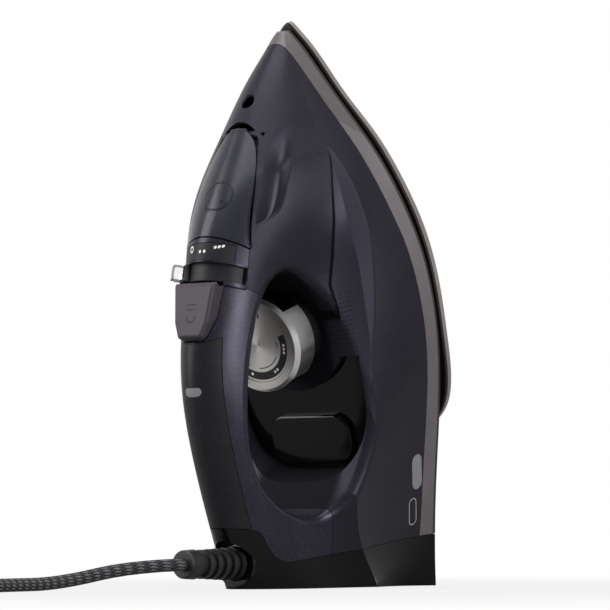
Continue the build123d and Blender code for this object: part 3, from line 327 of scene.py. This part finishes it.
def body_shell_finish():
    material, tree, shader, paint, gloss, normal = moulded_base(
        "shell_dark", (0.0150, 0.0140, 0.0184), 0.38, specular=0.2, depth=0.05, flake=0.015, tone=0.08,
        tint=VIOLET)
    at = add_group(tree, PLACE)
    along, across, up, aside = at["Along"], at["Across"], at["Up"], at["Aside"]
    outer = ramp(tree, aside, 14, 17)
    # seam and leaf; the leaf facet is painted lighter and bluer, a painted sheen
    from_seam = reckon(tree, "SUBTRACT", up, traced(tree, along, SEAM))
    seam_run = both(tree, band(tree, along, 150, 253, 6), outer)
    gap = both(tree, ramp(tree, reckon(tree, "ABSOLUTE", from_seam), 0.25, 0.75, 1, 0), seam_run)
    step = both(tree, ramp(tree, from_seam, -0.4, 0.6), seam_run)
    above_crease = reckon(tree, "SUBTRACT", up, traced(tree, along, CREASE))
    leaf = both(tree, ramp(tree, above_crease, -0.7, 0.7), ramp(tree, from_seam, -0.5, 0.0, 1, 0),
                band(tree, along, 118, 254, 8), outer)
    paint = blend_colour(tree, leaf, paint, (0.0285, 0.0270, 0.0370))
    # scoop beside the door: a hollow carved by bump, painted darker inside as painted shade
    side_line = traced(tree, along, SCOOP_SIDE)
    wide = reckon(tree, "SUBTRACT", traced(tree, along, SCOOP_DOOR), side_line)
    share = reckon(tree, "DIVIDE", reckon(tree, "SUBTRACT", up, side_line), wide, clamp=True)
    hollow = reckon(tree, "SINE", reckon(tree, "MULTIPLY", reckon(tree, "POWER", share, 0.8), math.pi))
    hollow = both(tree, hollow, ramp(tree, along, 231.4, 233.5), ramp(tree, along, 254, 275, 1, 0), outer)
    paint = blend_colour(tree, scaled(tree, hollow, 0.35), paint, (0.006, 0.006, 0.008))
    # the hand's opening painted near black as painted shade of the deep hollow, and made rougher so it
    # reflects little
    opening_shade = both(tree, ramp(tree, aside, 23, 29, 1, 0), band(tree, along, 70, 198, 10),
                   band(tree, up, 50, 100, 3))
    paint = blend_colour(tree, opening_shade, paint, (0.0035, 0.0035, 0.0042))
    # pin dots at the foot of the leaf
    grid = tree.nodes.new("ShaderNodeTexVoronoi")
    grid.inputs["Scale"].default_value = 0.42
    grid.inputs["Randomness"].default_value = 0.0
    lay = tree.nodes.new("ShaderNodeCombineXYZ")
    tree.links.new(along, lay.inputs[0])
    tree.links.new(reckon(tree, "SUBTRACT", up, aside), lay.inputs[1])
    tree.links.new(lay.outputs[0], grid.inputs["Vector"])
    pins = both(tree, ramp(tree, grid.outputs["Distance"], 0.16, 0.26, 1, 0),
                band(tree, along, 128, 176, 16), band(tree, aside, 17, 40, 4), ramp(tree, up, 50, 54))
    paint = blend_colour(tree, scaled(tree, pins, 0.8), paint, (0.004, 0.004, 0.005))
    # blank pills, printed on the side that is seen
    near_side = ramp(tree, across, -20, -22)
    lean = scaled(tree, along, 0.1)
    level = reckon(tree, "SUBTRACT", up, lean)
    marks = []
    for centre, half, at_level, radius, ring in PILLS:
        off_centre = reckon(tree, "ABSOLUTE", reckon(tree, "SUBTRACT", along, centre))
        over = reckon(tree, "MAXIMUM", reckon(tree, "SUBTRACT", off_centre, half), 0.0)
        distance = reach(tree, over, level, 0.0, at_level)
        if ring:
            marks.append(band(tree, distance, radius - 0.5, radius, 0.15))
        else:
            marks.append(scaled(tree, ramp(tree, distance, radius - 0.15, radius + 0.15, 1, 0), 0.75))
    print_share = both(tree, either(tree, *marks), near_side)
    paint = blend_colour(tree, print_share, paint, (0.27, 0.27, 0.29))
    paint = blend_colour(tree, gap, paint, (0.0015, 0.0015, 0.002))
    # heights
    height = reckon(tree, "ADD", scaled(tree, leaf, 0.35), scaled(tree, step, 0.4))
    height = reckon(tree, "SUBTRACT", height, scaled(tree, gap, 0.9))
    height = reckon(tree, "SUBTRACT", height, scaled(tree, hollow, 2.6))
    height = reckon(tree, "SUBTRACT", height, scaled(tree, pins, 0.3))
    normal = raised(tree, height, MM, 1.0, normal)
    gloss = reckon(tree, "SUBTRACT", gloss, scaled(tree, hollow, 0.14))
    gloss = reckon(tree, "ADD", gloss, scaled(tree, opening_shade, 0.42))
    close_finish(tree, shader, paint, gloss, normal)
    return material


# Soleplate: a pale coated lip below a dark cast edge.
def sole_finish():
    material, tree, shader, paint, gloss, normal = moulded_base(
        "sole_metal", (0.42, 0.385, 0.36), 0.34, metallic=0.9, grain=1800, depth=0.05, tone=0.03,
        gloss_change=0.04)
    above_lip = ramp(tree, add_group(tree, PLACE)["Up"], 3.0, 3.3)
    paint = blend_colour(tree, above_lip, paint, (0.055, 0.046, 0.046))
    close_finish(tree, shader, paint, gloss, normal)
    return material


# Trim: satin grey-mauve with a brown lower edge, and the tip past a crease line painted darker as shade.
def trim_finish():
    material, tree, shader, paint, gloss, normal = moulded_base(
        "trim_grey", (0.145, 0.130, 0.137), 0.42, metallic=0.3, specular=0.4, depth=0.06, flake=0.04,
        tone=0.06)
    at = add_group(tree, PLACE)
    slanted = reckon(tree, "SUBTRACT", at["Along"], scaled(tree, at["Up"], 1.2))
    tip_shade = ramp(tree, slanted, 246.2, 246.8)
    # painted shade: the tip facet past the crease is darkened
    paint = blend_colour(tree, scaled(tree, tip_shade, 0.4), paint, (0.055, 0.048, 0.05))
    brown = ramp(tree, at["Up"], 8.3, 8.7, 1, 0)
    paint = blend_colour(tree, brown, paint, (0.036, 0.028, 0.026))
    cut = reckon(tree, "SUBTRACT", scaled(tree, tip_shade, -0.25), scaled(tree, brown, 0.3))
    normal = raised(tree, cut, MM, 1.0, normal)
    close_finish(tree, shader, paint, gloss, normal)
    return material


# Smoky see-through door with a moulded ring and two dots.
def door_finish():
    material, tree, shader = new_material("smoky_clear")
    shader.inputs["Transmission Weight"].default_value = 0.25
    shader.inputs["IOR"].default_value = 1.46
    shader.inputs["Specular IOR Level"].default_value = 0.28
    effect = add_group(tree, GRAIN, Grain_Scale=900.0, Cloud_Scale=45.0)
    at = add_group(tree, PLACE)
    down = reckon(tree, "SUBTRACT", scaled(tree, at["Up"], 0.72),
                  scaled(tree, at["Along"], 0.67))
    down = reckon(tree, "ADD", down, 248.9 * 0.67 - 96.3 * 0.72)
    from_middle = reach(tree, down, at["Across"], 0.0, -1.2)
    ring = band(tree, from_middle, 7.9, 8.6, 0.35)
    eyes = either(tree, *(disc(tree, down, at["Across"], 3.4, side, 0.75) for side in (2.6, -5.0)))
    share = ramp(tree, effect["Cloud"], 0.3, 0.7)
    paint = blend_colour(tree, share, (0.0235, 0.0240, 0.0350), (0.0285, 0.0290, 0.0410))
    paint = blend_colour(tree, scaled(tree, ring, 0.85), paint, (0.006, 0.007, 0.009))
    paint = blend_colour(tree, eyes, paint, (0.002, 0.002, 0.003))
    gloss = ramp(tree, effect["Cloud"], 0.3, 0.7, 0.22, 0.27)
    inside = ramp(tree, from_middle, 7.9, 8.3, 1, 0)
    height = reckon(tree, "SUBTRACT", ring, scaled(tree, inside, 0.6))
    height = reckon(tree, "SUBTRACT", height, eyes)
    close_finish(tree, shader, paint, gloss, raised(tree, height, 0.6 * MM))
    return material


def clear_plastic(name, colour, rough, transmission, ior=1.49):
    """A see-through moulding with faint clouding in its gloss."""
    material, tree, shader = new_material(name)
    shader.inputs["Transmission Weight"].default_value = transmission
    shader.inputs["IOR"].default_value = ior
    effect = add_group(tree, GRAIN, Grain_Scale=900.0, Cloud_Scale=45.0)
    share = ramp(tree, effect["Cloud"], 0.3, 0.7)
    paint = blend_colour(tree, share, tuple(c * 0.94 for c in colour), colour)
    gloss = ramp(tree, effect["Cloud"], 0.3, 0.7, rough * 0.85, rough * 1.15)
    close_finish(tree, shader, paint, gloss, raised(tree, effect["Grain"], 0.0001, 0.05))
    return material


# Dial: spun metal with painted highlight sectors, a printed black arc, heat dots and a bright chamfer.
DIAL_U = 166


def dial_finish():
    material, tree, shader = new_material("dial_metal")
    shader.inputs["Specular IOR Level"].default_value = 0.5
    effect = add_group(tree, GRAIN, Grain_Scale=3000.0, Cloud_Scale=60.0)
    at = add_group(tree, PLACE)
    ahead = reckon(tree, "SUBTRACT", at["Along"], DIAL_U)
    right = scaled(tree, at["Across"], -1.0)
    radius = reach(tree, ahead, right, 0.0, 0.0)
    angle = reckon(tree, "ARCTAN2", right, ahead)
    top = ramp(tree, at["Up"], 84.6, 85.0)
    # painted highlight: two bright sectors of the spun metal's reflection painted into the colour, broken
    # up by fine brush lines round the centre
    from_highlight = reckon(tree, "SUBTRACT", angle, math.radians(158))
    painted_highlight = reckon(tree, "COSINE", scaled(tree, from_highlight, 2))
    painted_highlight = ramp(tree, painted_highlight, -1, 1)
    lines = tree.nodes.new("ShaderNodeTexNoise")
    lines.noise_dimensions = "2D"
    lines.inputs["Scale"].default_value = 1.0
    lines.inputs["Detail"].default_value = 2
    polar = tree.nodes.new("ShaderNodeCombineXYZ")
    tree.links.new(scaled(tree, radius, 5.5), polar.inputs[0])
    tree.links.new(scaled(tree, angle, 2.0), polar.inputs[1])
    tree.links.new(polar.outputs[0], lines.inputs["Vector"])
    brushed = ramp(tree, lines.outputs["Fac"], 0.3, 0.7)
    highlight_and_brushing = reckon(tree, "ADD", scaled(tree, painted_highlight, 0.75), scaled(tree, brushed, 0.25))
    paint = blend_colour(tree, highlight_and_brushing, (0.38, 0.355, 0.34), (0.86, 0.83, 0.80))
    edge = ramp(tree, radius, 23.3, 23.7)
    paint = blend_colour(tree, edge, paint, (0.93, 0.91, 0.90))
    turn = reckon(tree, "MODULO", reckon(tree, "ADD", angle, 4 * math.pi), 2 * math.pi)
    degrees = scaled(tree, turn, 180 / math.pi)
    # the skirt is dark but for a bright finger lip
    lip = band(tree, degrees, 50, 139, 0.8)
    skirt = reckon(tree, "MULTIPLY", ramp(tree, radius, 25.7, 25.85), reckon(tree, "SUBTRACT", 1.0, lip))
    paint = blend_colour(tree, skirt, paint, (0.012, 0.0115, 0.013))
    # printing, only on the face
    arc = both(tree, band(tree, radius, 14.7, 18.7, 0.15), band(tree, degrees, 74, 252, 0.6))
    stretches = [band(tree, degrees, start, end, 0.6) for start, end in ((84, 99), (121, 186), (214, 252))]
    thin = both(tree, band(tree, radius, 12.35, 12.75, 0.12), either(tree, *stretches))
    tick = both(tree, band(tree, degrees, 13, 16.5, 0.5), band(tree, radius, 15.2, 18.0, 0.15))

    def dots(ring, size, turns):
        """Round marks on a ring of the face, at turns in degrees."""
        places = [(ring * math.cos(a), ring * math.sin(a)) for a in map(math.radians, turns)]
        return [disc(tree, ahead, right, x, y, size) for x, y in places]

    small = dots(18.4, 0.34, (-38, -31, -24, -17, -10, -3, 4))
    heat = dots(16.7, 0.75, (92, 99, 106, 144, 151, 203))
    rim_line = band(tree, radius, 19.85, 20.1, 0.1)
    black = both(tree, either(tree, arc, thin, tick, *small), top)
    paint = blend_colour(tree, black, paint, (0.006, 0.006, 0.007))
    white = both(tree, either(tree, *heat), top)
    paint = blend_colour(tree, white, paint, (0.8, 0.8, 0.8))
    paint = blend_colour(tree, scaled(tree, both(tree, rim_line, top), 0.7), paint, (0.12, 0.11, 0.1))
    printed = either(tree, black, white)
    tree.links.new(ramp(tree, printed, 0, 1, 1.0, 0.0, smooth=False), shader.inputs["Metallic"])
    gloss = ramp(tree, brushed, 0, 1, 0.34, 0.42)
    gloss = reckon(tree, "SUBTRACT", gloss, scaled(tree, edge, 0.06))
    spun = reckon(tree, "MULTIPLY", brushed, ramp(tree, radius, 23.0, 23.4, 1, 0))
    close_finish(tree, shader, paint, gloss, raised(tree, spun, 0.00002, 0.15))
    return material


# Control band: matt strip with a ring, two dots and three dots.
def band_finish():
    material, tree, shader, paint, gloss, normal = moulded_base(
        "control_band", (0.0145, 0.0138, 0.0165), 0.5, specular=0.2, depth=0.12, grain=1800)
    at = add_group(tree, PLACE)
    u, y = at["Along"], at["Across"]
    ring = band(tree, reach(tree, u, y, 226, 7.2), 1.0, 1.5, 0.15)
    marks = either(tree, ring, disc(tree, u, y, 225.4, 0.4, 0.7), disc(tree, u, y, 225.4, -2.2, 0.7),
                   *(disc(tree, u, y, 226.4 - 0.15 * k, -7.4 - 1.7 * k, 0.65) for k in range(3)))
    paint = blend_colour(tree, marks, paint, (0.62, 0.62, 0.64))
    close_finish(tree, shader, paint, gloss, normal)
    return material


# Trigger: soft-touch grey with a moulded mark of two bars and a bow.
def trigger_finish():
    material, tree, shader, paint, gloss, normal = moulded_base(
        "button_grey", (0.0445, 0.0375, 0.0455), 0.5, specular=0.28, depth=0.14, grain=2000, tone=0.07)
    at = add_group(tree, PLACE)
    u, y = at["Along"], at["Across"]
    wide = band(tree, y, -2.6, 2.6, 0.12)
    bars = either(tree, *(both(tree, band(tree, u, low, low + 0.6, 0.12), wide) for low in (199.4, 201.6)))
    ring = band(tree, reach(tree, u, y, 196.6, 0), 2.4, 3.0, 0.12)
    bow = both(tree, ring, ramp(tree, u, 196.4, 196.7, 1, 0))
    mark = both(tree, either(tree, bars, bow), ramp(tree, at["Up"], 128, 129))
    paint = blend_colour(tree, scaled(tree, mark, 0.75), paint, (0.018, 0.016, 0.017))
    normal = raised(tree, mark, -0.4 * MM, 1.0, normal)
    close_finish(tree, shader, paint, gloss, normal)
    return material


FINISHES = {
    "sole_metal": sole_finish(),
    "cast_alloy": moulded("cast_alloy", (0.55, 0.55, 0.56), 0.55, metallic=0.9, grain=1200, depth=0.2),
    "steel": moulded("steel", (0.55, 0.55, 0.57), 0.32, metallic=1.0),
    "shield_dark": moulded("shield_dark", (0.020, 0.0165, 0.0155), 0.5, specular=0.3, grain=1600,
                           depth=0.12),
    "trim_grey": trim_finish(),
    "shell_dark": body_shell_finish(),
    "handle_violet": moulded("handle_violet", (0.0165, 0.0150, 0.0215), 0.32, metallic=0.2, specular=0.4,
                             depth=0.05, flake=0.035, tone=0.08, tint=VIOLET),
    "strip_charcoal": moulded("strip_charcoal", (0.0115, 0.0108, 0.0132), 0.44, specular=0.2, depth=0.08,
                              grain=1800, flake=0.015),
    "gloss_black": moulded("gloss_black", (0.003, 0.003, 0.0037), 0.10, specular=0.27, depth=0.01),
    "smoky_clear": door_finish(),
    "clear_tab": clear_plastic("clear_tab", (0.95, 0.955, 0.96), 0.05, 1.0),
    "lens_smoke": clear_plastic("lens_smoke", (0.20, 0.20, 0.215), 0.25, 0.1),
    "button_grey": trigger_finish(),
    "control_band": band_finish(),
    "dial_metal": dial_finish(),
    "inner_white": moulded("inner_white", (0.7, 0.7, 0.68), 0.5),
    "board_green": moulded("board_green", (0.03, 0.17, 0.07), 0.4),
    "relief_rubber": moulded("relief_rubber", (0.0105, 0.0105, 0.0115), 0.42, specular=0.4, depth=0.15,
                             grain=1500),
    "tie_black": moulded("tie_black", (0.015, 0.015, 0.015), 0.8, depth=0.3, grain=1200),
    "pin_brass": moulded("pin_brass", (0.72, 0.69, 0.63), 0.2, metallic=1.0),
}

NODE_FINISH = {
    "soleplate": "sole_metal", "sole_casting": "cast_alloy", "heating_element": "steel",
    "chamber_cover": "steel", "sole_screws": "steel", "thermostat": "steel", "thermal_fuse": "inner_white",
    "heat_shield": "shield_dark", "rear_screws": "steel", "skirt_trim": "trim_grey",
    "main_housing": "shell_dark", "heel_cover": "gloss_black", "handle_shell": "handle_violet",
    "handle_cover": "strip_charcoal", "indicator_lens": "lens_smoke", "control_band": "control_band",
    "slider_track": "strip_charcoal", "steam_slider": "strip_charcoal", "water_door": "smoky_clear",
    "door_pin": "steel", "filler_neck": "shield_dark", "spray_nozzle": "gloss_black",
    "trigger_button": "button_grey", "pump_plunger": "inner_white", "pump_barrel": "inner_white",
    "pump_spring": "steel", "pump_hose": "inner_white", "dial_knob": "dial_metal",
    "dial_face": "dial_metal", "dial_spindle": "inner_white", "deck_cover": "gloss_black",
    "lime_collector": "gloss_black", "lime_strainer": "steel", "water_tank": "smoky_clear",
    "dosing_valve": "steel", "indicator_board": "board_green", "lead_wires": "inner_white",
    "terminal_block": "inner_white", "cord_clamp": "inner_white", "strain_relief": "relief_rubber",
    "socket_ring": "gloss_black", "cord_tie": "tie_black", "plug_body": "relief_rubber",
    "plug_pins": "pin_brass",
}
for node_name, finish in NODE_FINISH.items():
    mesh = nodes[node_name].data
    mesh.materials.clear()
    mesh.materials.append(FINISHES[finish])


# Pieces that stand for a node: a merged copy of its mesh with smooth faces.
def merged_copy(name, node_name, finish, angle=30):
    bpy.ops.object.select_all(action="DESELECT")
    piece = bpy.data.objects.new(name, nodes[node_name].data.copy())
    bpy.context.scene.collection.objects.link(piece)
    piece.data.materials.clear()
    piece.data.materials.append(finish)
    bpy.context.view_layer.objects.active = piece
    piece.select_set(True)
    bpy.ops.object.mode_set(mode="EDIT")
    bpy.ops.mesh.select_all(action="SELECT")
    bpy.ops.mesh.customdata_custom_splitnormals_clear()
    bpy.ops.mesh.remove_doubles(threshold=0.000002)
    bpy.ops.object.mode_set(mode="OBJECT")
    bpy.ops.object.shade_smooth_by_angle(angle=math.radians(angle))
    piece.select_set(False)
    return piece


door_flap = merged_copy("door_flap", "water_door", FINISHES["smoky_clear"])
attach(door_flap, "door")
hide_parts("water_door")

# The slider: a dark carriage on the track and a clear tab that stands out from it.
SLIDE_U, SLIDE_W = 205.24, 104.08
SLIDE_TILT = math.radians(33)
SLIDE_AXIS = ALONG * math.cos(SLIDE_TILT) - UPWARD * math.sin(SLIDE_TILT)
TAB_FROM = 22.4
TAB_CORNER = 2.2


def from_slide_axis(place):
    """The arm from the axis that the slider turns about out to a point, in millimetres."""
    arm = (place - spot(SLIDE_U, 0, SLIDE_W)) / MM
    return arm - SLIDE_AXIS * arm.dot(SLIDE_AXIS)


def slider_pieces():
    """The carriage with its tab, whose outer corners are rounded."""
    piece = merged_copy("slider_carriage", "steam_slider", FINISHES["strip_charcoal"])
    piece.data.materials.append(FINISHES["clear_tab"])
    bpy.ops.object.select_all(action="DESELECT")
    bpy.context.view_layer.objects.active = piece
    piece.select_set(True)
    bpy.ops.object.mode_set(mode="EDIT")
    bpy.ops.mesh.select_mode(type="EDGE")
    bpy.ops.mesh.select_all(action="DESELECT")
    solid = bmesh.from_edit_mesh(piece.data)
    for edge in solid.edges:
        ends = [v.co for v in edge.verts]
        outer = min(from_slide_axis(p).length for p in ends) > TAB_FROM + 3
        lengthwise = abs((ends[1] - ends[0]).normalized().dot(SLIDE_AXIS)) > 0.95
        edge.select_set(outer and lengthwise and edge.calc_face_angle(0) > 0.6)
    bmesh.update_edit_mesh(piece.data)
    bpy.ops.mesh.bevel(offset=TAB_CORNER * MM, segments=5)
    bpy.ops.object.mode_set(mode="OBJECT")
    for face in piece.data.polygons:
        face.material_index = 1 if from_slide_axis(face.center).length > TAB_FROM else 0
    bpy.ops.object.shade_smooth_by_angle(angle=math.radians(30))
    piece.select_set(False)
    return piece


carriage = slider_pieces()
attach(carriage, "slider")
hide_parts("steam_slider")


# The mains cord: out of the sleeve, down to the floor and away into its tied coil.
CORD_R = 3.2
COIL_PITCH = 7.0
COIL_IN = 28.0
COIL_TURNS = 3.0
COIL_OUT = COIL_IN + COIL_TURNS * COIL_PITCH
COIL_LOW_Z = 4.8
COIL_X, COIL_Y = -328.0, 34.0
COIL_STEPS = 20
PLUG_Z = 18.5


def coil_point(turns):
    """The coil's centre line after so many turns: in on the floor, up, and out on top."""
    climb = turns - COIL_TURNS
    if climb <= 0:
        radius, height = COIL_OUT - COIL_PITCH * turns, COIL_LOW_Z
    elif climb < 0.5:
        radius = COIL_IN - COIL_PITCH * (climb if climb < 0.25 else 0.5 - climb)
        height = COIL_LOW_Z + COIL_PITCH * (1 - math.cos(climb * 2 * math.pi)) / 2
    else:
        radius, height = COIL_IN + COIL_PITCH * (climb - 0.5), COIL_LOW_Z + COIL_PITCH
    angle = -math.pi / 2 - 2 * math.pi * turns
    return (COIL_X + radius * math.cos(angle), COIL_Y + radius * math.sin(angle), height)


def mains_cord():
    """One smooth line from the sleeve to the plug, through the coil."""
    entry = (COIL_X, COIL_Y - COIL_OUT, COIL_LOW_Z)
    route = [(-87, 0, 13), (-138, 0, 13), (-190, 6, 4.6), (-240, -3, 4.8),
             (COIL_X + 42, entry[1], 4.8), entry]
    turns = 2 * COIL_TURNS + 0.5
    steps = round(turns * COIL_STEPS)
    points = route + [coil_point(k / COIL_STEPS) for k in range(1, steps + 1)]
    x, y, z = points[-1]
    points += [(x + 18, y, z), (x + 38, y - 4, PLUG_Z), (x + 54, y - 4, PLUG_Z)]
    curve = bpy.data.curves.new("mains_lead", "CURVE")
    curve.dimensions = "3D"
    spline = curve.splines.new("NURBS")
    spline.points.add(len(points) - 1)
    for control, place in zip(spline.points, points):
        control.co = (*(c * MM for c in place), 1)
    spline.order_u = 3
    spline.use_endpoint_u = True
    spline.resolution_u = 6
    curve.bevel_depth = CORD_R * MM
    curve.bevel_resolution = 5
    curve.use_fill_caps = True
    lead = bpy.data.objects.new("mains_lead", curve)
    bpy.context.scene.collection.objects.link(lead)
    return lead


CORD_LENGTH = 1.836
STRANDS = 12


def braid_finish():
    """Woven sleeve: two crossed sets of strands, one charcoal and one paler, with painted shade between the
    strands.
    """
    material, tree, shader = new_material("cord_braid")
    shader.inputs["Specular IOR Level"].default_value = 0.25
    place = tree.nodes.new("ShaderNodeTexCoord").outputs["UV"]
    parts = tree.nodes.new("ShaderNodeSeparateXYZ")
    tree.links.new(place, parts.inputs[0])
    girth = 2 * math.pi * CORD_R * MM
    lengthwise = scaled(tree, parts.outputs["X"], CORD_LENGTH / girth * STRANDS)
    round_it = scaled(tree, parts.outputs["Y"], STRANDS)
    one = reckon(tree, "ADD", round_it, lengthwise)
    other = reckon(tree, "SUBTRACT", round_it, lengthwise)

    def strand(phase):
        part = reckon(tree, "ABSOLUTE", reckon(tree, "SUBTRACT", reckon(tree, "FRACT", phase), 0.5))
        return ramp(tree, part, 0.5, 0.1)

    over = reckon(tree, "ADD", reckon(tree, "FLOOR", one), reckon(tree, "FLOOR", other))
    over = reckon(tree, "MODULO", reckon(tree, "ABSOLUTE", over), 2.0)
    over = ramp(tree, over, 0.4, 0.6)
    first = strand(one)
    second = strand(other)
    blend = tree.nodes.new("ShaderNodeMix")
    tree.links.new(over, blend.inputs["Factor"])
    tree.links.new(first, blend.inputs[2])
    tree.links.new(second, blend.inputs[3])
    height = blend.outputs[0]
    paint = blend_colour(tree, over, (0.030, 0.029, 0.032), (0.115, 0.110, 0.118))
    # painted shade: the strands' edges go near black where they dip under each other
    paint = blend_colour(tree, ramp(tree, height, 0.0, 0.6), (0.006, 0.006, 0.007), paint)
    gloss = ramp(tree, height, 0, 1, 0.85, 0.62)
    close_finish(tree, shader, paint, gloss, raised(tree, height, 0.0005, 0.9))
    return material


lead = mains_cord()
lead.data.materials.append(braid_finish())
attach(lead, "iron")
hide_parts("mains_cord", "cord_coil")


# Studio: white floor, soft boxes either side, a top light and a plain world.
def soft_box(name, place, target, width, height, power):
    light = bpy.data.lights.new(name, "AREA")
    light.shape = "RECTANGLE"
    light.size = width
    light.size_y = height
    light.energy = power
    lamp = bpy.data.objects.new(name, light)
    bpy.context.scene.collection.objects.link(lamp)
    lamp.location = place
    lamp.rotation_mode = "QUATERNION"
    lamp.rotation_quaternion = (Vector(target) - Vector(place)).to_track_quat("-Z", "Y")


def mixed(tree, share, first, second):
    node = tree.nodes.new("ShaderNodeMixShader")
    wire(tree, share, node.inputs["Fac"])
    tree.links.new(first, node.inputs[1])
    tree.links.new(second, node.inputs[2])
    return node.outputs[0]


def studio():
    middle = Vector((-0.02, 0, 0.15))
    toward = (camera_place - camera_target).normalized()
    right = Vector((-toward.y, toward.x, 0)).normalized()
    high = Vector((0, 0, 1))
    soft_box("left_box", middle - right * 1.3 + toward * 0.3 + high * 0.55, middle, 0.8, 1.5, 20)
    soft_box("right_box", middle + right * 1.05 + toward * 1.0 + high * 0.45, middle, 0.4, 1.5, 20)
    soft_box("top_box", middle + high * 1.5 + toward * 0.3, middle, 1.2, 1.2, 18)

    bpy.ops.object.select_all(action="DESELECT")
    bpy.ops.mesh.primitive_plane_add(size=12, location=(0, 0, -0.0003))
    floor = bpy.context.object
    floor.name = "floor"
    material = bpy.data.materials.new("pale_floor")
    material.use_nodes = True
    tree = material.node_tree
    tree.nodes.clear()
    out = tree.nodes.new("ShaderNodeOutputMaterial")
    lit = tree.nodes.new("ShaderNodeBsdfDiffuse")
    lit.inputs["Color"].default_value = (0.22, 0.22, 0.22, 1)
    glow = tree.nodes.new("ShaderNodeEmission")
    glow.inputs["Color"].default_value = (1, 1, 1, 1)
    far = tree.nodes.new("ShaderNodeVectorMath")
    far.operation = "LENGTH"
    tree.links.new(object_place(tree), far.inputs[0])
    white = ramp(tree, far.outputs["Value"], 0.16, 0.5, 0.84, 1.0)
    path = tree.nodes.new("ShaderNodeLightPath")
    bounced = reckon(tree, "MAXIMUM", path.outputs["Is Glossy Ray"], path.outputs["Is Transmission Ray"])
    share = reckon(tree, "MAXIMUM", reckon(tree, "MULTIPLY", path.outputs["Is Camera Ray"], white),
                   scaled(tree, bounced, 0.06))
    tree.links.new(mixed(tree, share, lit.outputs[0], glow.outputs[0]), out.inputs["Surface"])
    floor.data.materials.append(material)

    world = bpy.data.worlds.new("studio")
    bpy.context.scene.world = world
    world.use_nodes = True
    tree = world.node_tree
    tree.nodes.clear()
    out = tree.nodes.new("ShaderNodeOutputWorld")
    path = tree.nodes.new("ShaderNodeLightPath")
    direction = tree.nodes.new("ShaderNodeTexCoord").outputs["Generated"]
    facing = tree.nodes.new("ShaderNodeVectorMath")
    facing.operation = "DOT_PRODUCT"
    facing.inputs[1].default_value = -toward
    tree.links.new(direction, facing.inputs[0])
    behind = ramp(tree, facing.outputs["Value"], 0.0, 0.8, 0.08, 1.0)
    skies = []
    for strength in (0.4, behind, 1.0):
        sky = tree.nodes.new("ShaderNodeBackground")
        sky.inputs["Color"].default_value = (1, 1, 1, 1)
        wire(tree, strength, sky.inputs["Strength"])
        skies.append(sky.outputs[0])
    bounce = reckon(tree, "MAXIMUM", path.outputs["Is Glossy Ray"], path.outputs["Is Transmission Ray"])
    around = mixed(tree, bounce, skies[0], skies[1])
    tree.links.new(mixed(tree, path.outputs["Is Camera Ray"], around, skies[2]), out.inputs["Surface"])


studio()
